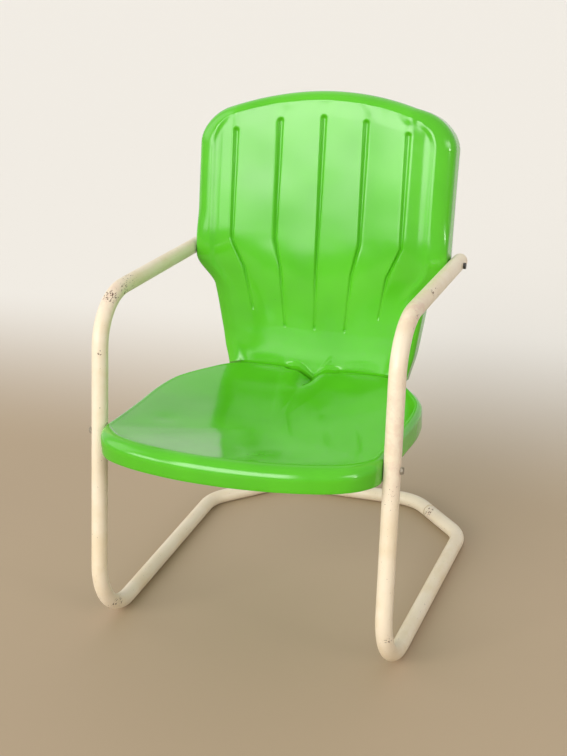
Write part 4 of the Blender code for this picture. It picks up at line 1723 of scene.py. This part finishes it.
@dataclass
class Studio:
    """The pale floor, the soft light round the chair and the camera."""

    floor_color: Color = (0.420, 0.320, 0.210)
    far_color: Color = (0.800, 0.770, 0.720)
    backdrop: Color = (0.900, 0.880, 0.850)
    camera_place: tuple[float, float, float] = (0.70842, -1.8696, 1.17165)
    yaw: float = 21.088
    pitch: float = 20.844
    roll: float = -1.618
    focal_px: float = 1165.39
    long_side_px: float = 756.0
    sensor: float = 36.0
    sky_color: Color = (1.0, 0.985, 0.96)
    low_sky: float = 0.27
    high_sky: float = 0.58
    rear_sky: float = 0.30
    horizon: tuple[float, float] = (-0.1, 0.25)
    rear_run: tuple[float, float] = (0.25, 0.7)
    floor_size: float = 160.0
    floor_run: tuple[float, float] = (0.35, 1.60)
    glows: tuple[Glow, ...] = (
        Glow("softbox", 6.6, (-12.0, -5.0, 38.0, 46.0), (6.5, 17.0, 35.0, 44.0)),
        Glow("left_wall", 5.2, (40.0, 48.0, 58.0, 66.0), (4.0, 10.0, 16.0, 24.0)),
        Glow("right_window", 5.0, (-80.0, -72.0, -62.0, -42.0), (17.0, 20.0, 27.0, 33.0)),
        Glow("right_lamp", 40.0, (-71.0, -69.0, -67.0, -65.0), (10.0, 12.0, 14.0, 16.0)),
        Glow("left_window", 1.2, (62.0, 72.0, 95.0, 105.0), (4.0, 14.0, 34.0, 46.0)),
    )

    def floor(self) -> None:
        """Lay the floor, which is not part of the chair."""
        deselect()
        bpy.ops.mesh.primitive_plane_add(size=self.floor_size, location=(0.0, 0.0, 0.0))
        floor = bpy.context.object
        floor.name = "studio_floor"
        graph = Graph("studio_floor_matt")
        split = graph.tree.nodes.new("ShaderNodeSeparateXYZ")
        graph.wire(graph.place, split.inputs[0])
        behind = graph.step(split.outputs["Y"], *self.floor_run)
        graph.set("Base Color", graph.blend(behind, self.floor_color, self.far_color))
        graph.set("Roughness", 0.62)
        floor.data.materials.append(graph.material)

    def world(self) -> None:
        """Light the chair from the sky, and show the camera and glossy faces the backdrop."""
        world = bpy.data.worlds.new("studio_sky")
        bpy.context.scene.world = world
        world.use_nodes = True
        sky = Wiring(world.node_tree)
        nodes = sky.tree.nodes
        nodes.clear()
        heading = nodes.new("ShaderNodeSeparateXYZ")
        sky.wire(nodes.new("ShaderNodeTexCoord").outputs["Generated"], heading.inputs[0])
        light = nodes.new("ShaderNodeBackground")
        light.inputs["Color"].default_value = (*self.sky_color, 1.0)
        sky.wire(self.sky_level(sky, heading), light.inputs["Strength"])
        plain = nodes.new("ShaderNodeBackground")
        plain.inputs["Color"].default_value = (*self.backdrop, 1.0)
        rays = nodes.new("ShaderNodeLightPath")
        behind = sky.step(heading.outputs["Y"], *self.rear_run)
        mirrored_ray = sky.math("MULTIPLY", rays.outputs["Is Glossy Ray"], behind)
        shown = sky.math("MAXIMUM", rays.outputs["Is Camera Ray"], mirrored_ray)
        chosen = nodes.new("ShaderNodeMixShader")
        out = nodes.new("ShaderNodeOutputWorld")
        for source, target in (
            (shown, chosen.inputs[0]),
            (light.outputs[0], chosen.inputs[1]),
            (plain.outputs[0], chosen.inputs[2]),
            (chosen.outputs[0], out.inputs["Surface"]),
        ):
            sky.wire(source, target)

    def sky_level(self, sky: Wiring, heading: bpy.types.Node) -> bpy.types.NodeSocket:
        """Add how bright the sky is in each direction, with its soft bright patches.

        Args:
            sky: The world's node tree.
            heading: The node that parts a direction into X, Y and Z.

        Returns:
            The brightness's socket.
        """
        left = sky.math("MULTIPLY", heading.outputs["X"], -1.0)
        front = sky.math("MULTIPLY", heading.outputs["Y"], -1.0)
        turn = sky.math("ARCTAN2", left, front)
        height = sky.math("ARCSINE", heading.outputs["Z"])
        level = sky.step(heading.outputs["Z"], *self.horizon, self.low_sky, self.high_sky)
        rear = sky.step(heading.outputs["Y"], *self.rear_run, 0.0, self.rear_sky)
        level = sky.math("ADD", level, rear)
        for glow in self.glows:
            share = glow.level
            for value, edges in ((turn, glow.turns), (height, glow.heights)):
                start, full, still, end = (math.radians(edge) for edge in edges)
                share = sky.math("MULTIPLY", share, sky.step(value, start, full))
                share = sky.math("MULTIPLY", share, sky.step(value, still, end, 1.0, 0.0))
            level = sky.math("ADD", level, share)
            LOG.info("sky: %s", glow.name)
        return level

    def camera(self) -> None:
        """Stand the camera where the photograph was taken from."""
        bpy.ops.object.camera_add(location=self.camera_place)
        camera = bpy.context.object
        yaw, pitch, roll = (math.radians(turn) for turn in (self.yaw, self.pitch, self.roll))
        level = Vector((math.cos(yaw), math.sin(yaw), 0.0))
        ahead = Vector((-math.sin(yaw), math.cos(yaw), 0.0))
        forward = ahead * math.cos(pitch) - Vector((0.0, 0.0, math.sin(pitch)))
        upright = level.cross(forward)
        right = level * math.cos(roll) + upright * math.sin(roll)
        up = upright * math.cos(roll) - level * math.sin(roll)
        turn = Matrix((right, up, -forward)).transposed()
        camera.rotation_euler = turn.to_euler()
        camera.data.sensor_fit = "AUTO"
        camera.data.sensor_width = self.sensor
        camera.data.lens = self.focal_px * self.sensor / self.long_side_px
        camera.data.clip_start = 0.05
        camera.data.clip_end = 60.0
        bpy.context.scene.camera = camera

    def build(self) -> None:
        """Set up the whole studio."""
        self.floor()
        self.world()
        self.camera()
        bpy.context.scene.view_settings.view_transform = "Standard"


CHIPS = (
    Spot((-0.2584, -0.1759, 0.5993), 0.026),
    Spot((-0.2500, -0.1402, 0.6023), 0.020, 0.9),
    Spot((-0.2586, -0.1100, 0.6131), 0.045, 0.55),
    Spot((-0.2560, -0.2337, 0.5134), 0.008, 0.8),
    Spot((0.2754, -0.0454, 0.6079), 0.012, 1.0),
    Spot((0.2765, -0.0214, 0.6063), 0.010, 0.6),
    Spot((0.2753, -0.1508, 0.6038), 0.020, 0.6),
    Spot((0.2638, -0.2675, 0.3299), 0.030, 0.4),
    Spot((-0.2509, -0.2666, 0.0418), 0.016, 1.0),
    Spot((-0.2500, -0.2460, 0.0361), 0.014, 0.8),
    Spot((0.2717, -0.2966, 0.0902), 0.020, 0.7),
    Spot((0.1964, 0.2908, 0.0239), 0.020, 0.9),
)
RUBBED = (
    Spot((-0.2584, -0.1700, 0.6000), 0.060, 0.35),
    Spot((0.2700, -0.1400, 0.6080), 0.075, 0.50),
    Spot((0.2660, -0.2500, 0.4300), 0.150, 0.35),
    Spot((0.1964, 0.2908, 0.0239), 0.030, 0.25),
)


def main() -> None:
    """Build the chair's pieces in order, then the studio round it."""
    logging.basicConfig(level=logging.INFO, format="%(name)s: %(message)s")
    green = GreenEnamel().build()
    cream = CreamPaint(chips=CHIPS, rubbed=RUBBED).build()
    rusty = BareSteel(
        name="rusty_bolt_steel",
        color=(0.300, 0.270, 0.210),
        rust=(0.170, 0.100, 0.055),
        rust_share=0.55,
        metallic=0.25,
        roughness=0.6,
    ).build()
    dark = BareSteel(
        name="dark_bolt_steel",
        color=(0.075, 0.070, 0.065),
        rust=(0.085, 0.045, 0.030),
        rust_share=0.35,
        metallic=0.8,
        roughness=0.5,
    ).build()

    seat = SeatPan(green)
    seat.build()
    back = BackShell(green, seat)
    back.build()
    tubes = TubeFrame(cream)
    tubes.tubes()
    tubes.caps()
    Fasteners(rusty, dark, tubes, seat, back).build()
    Studio().build()


if __name__ == "__main__":
    main()
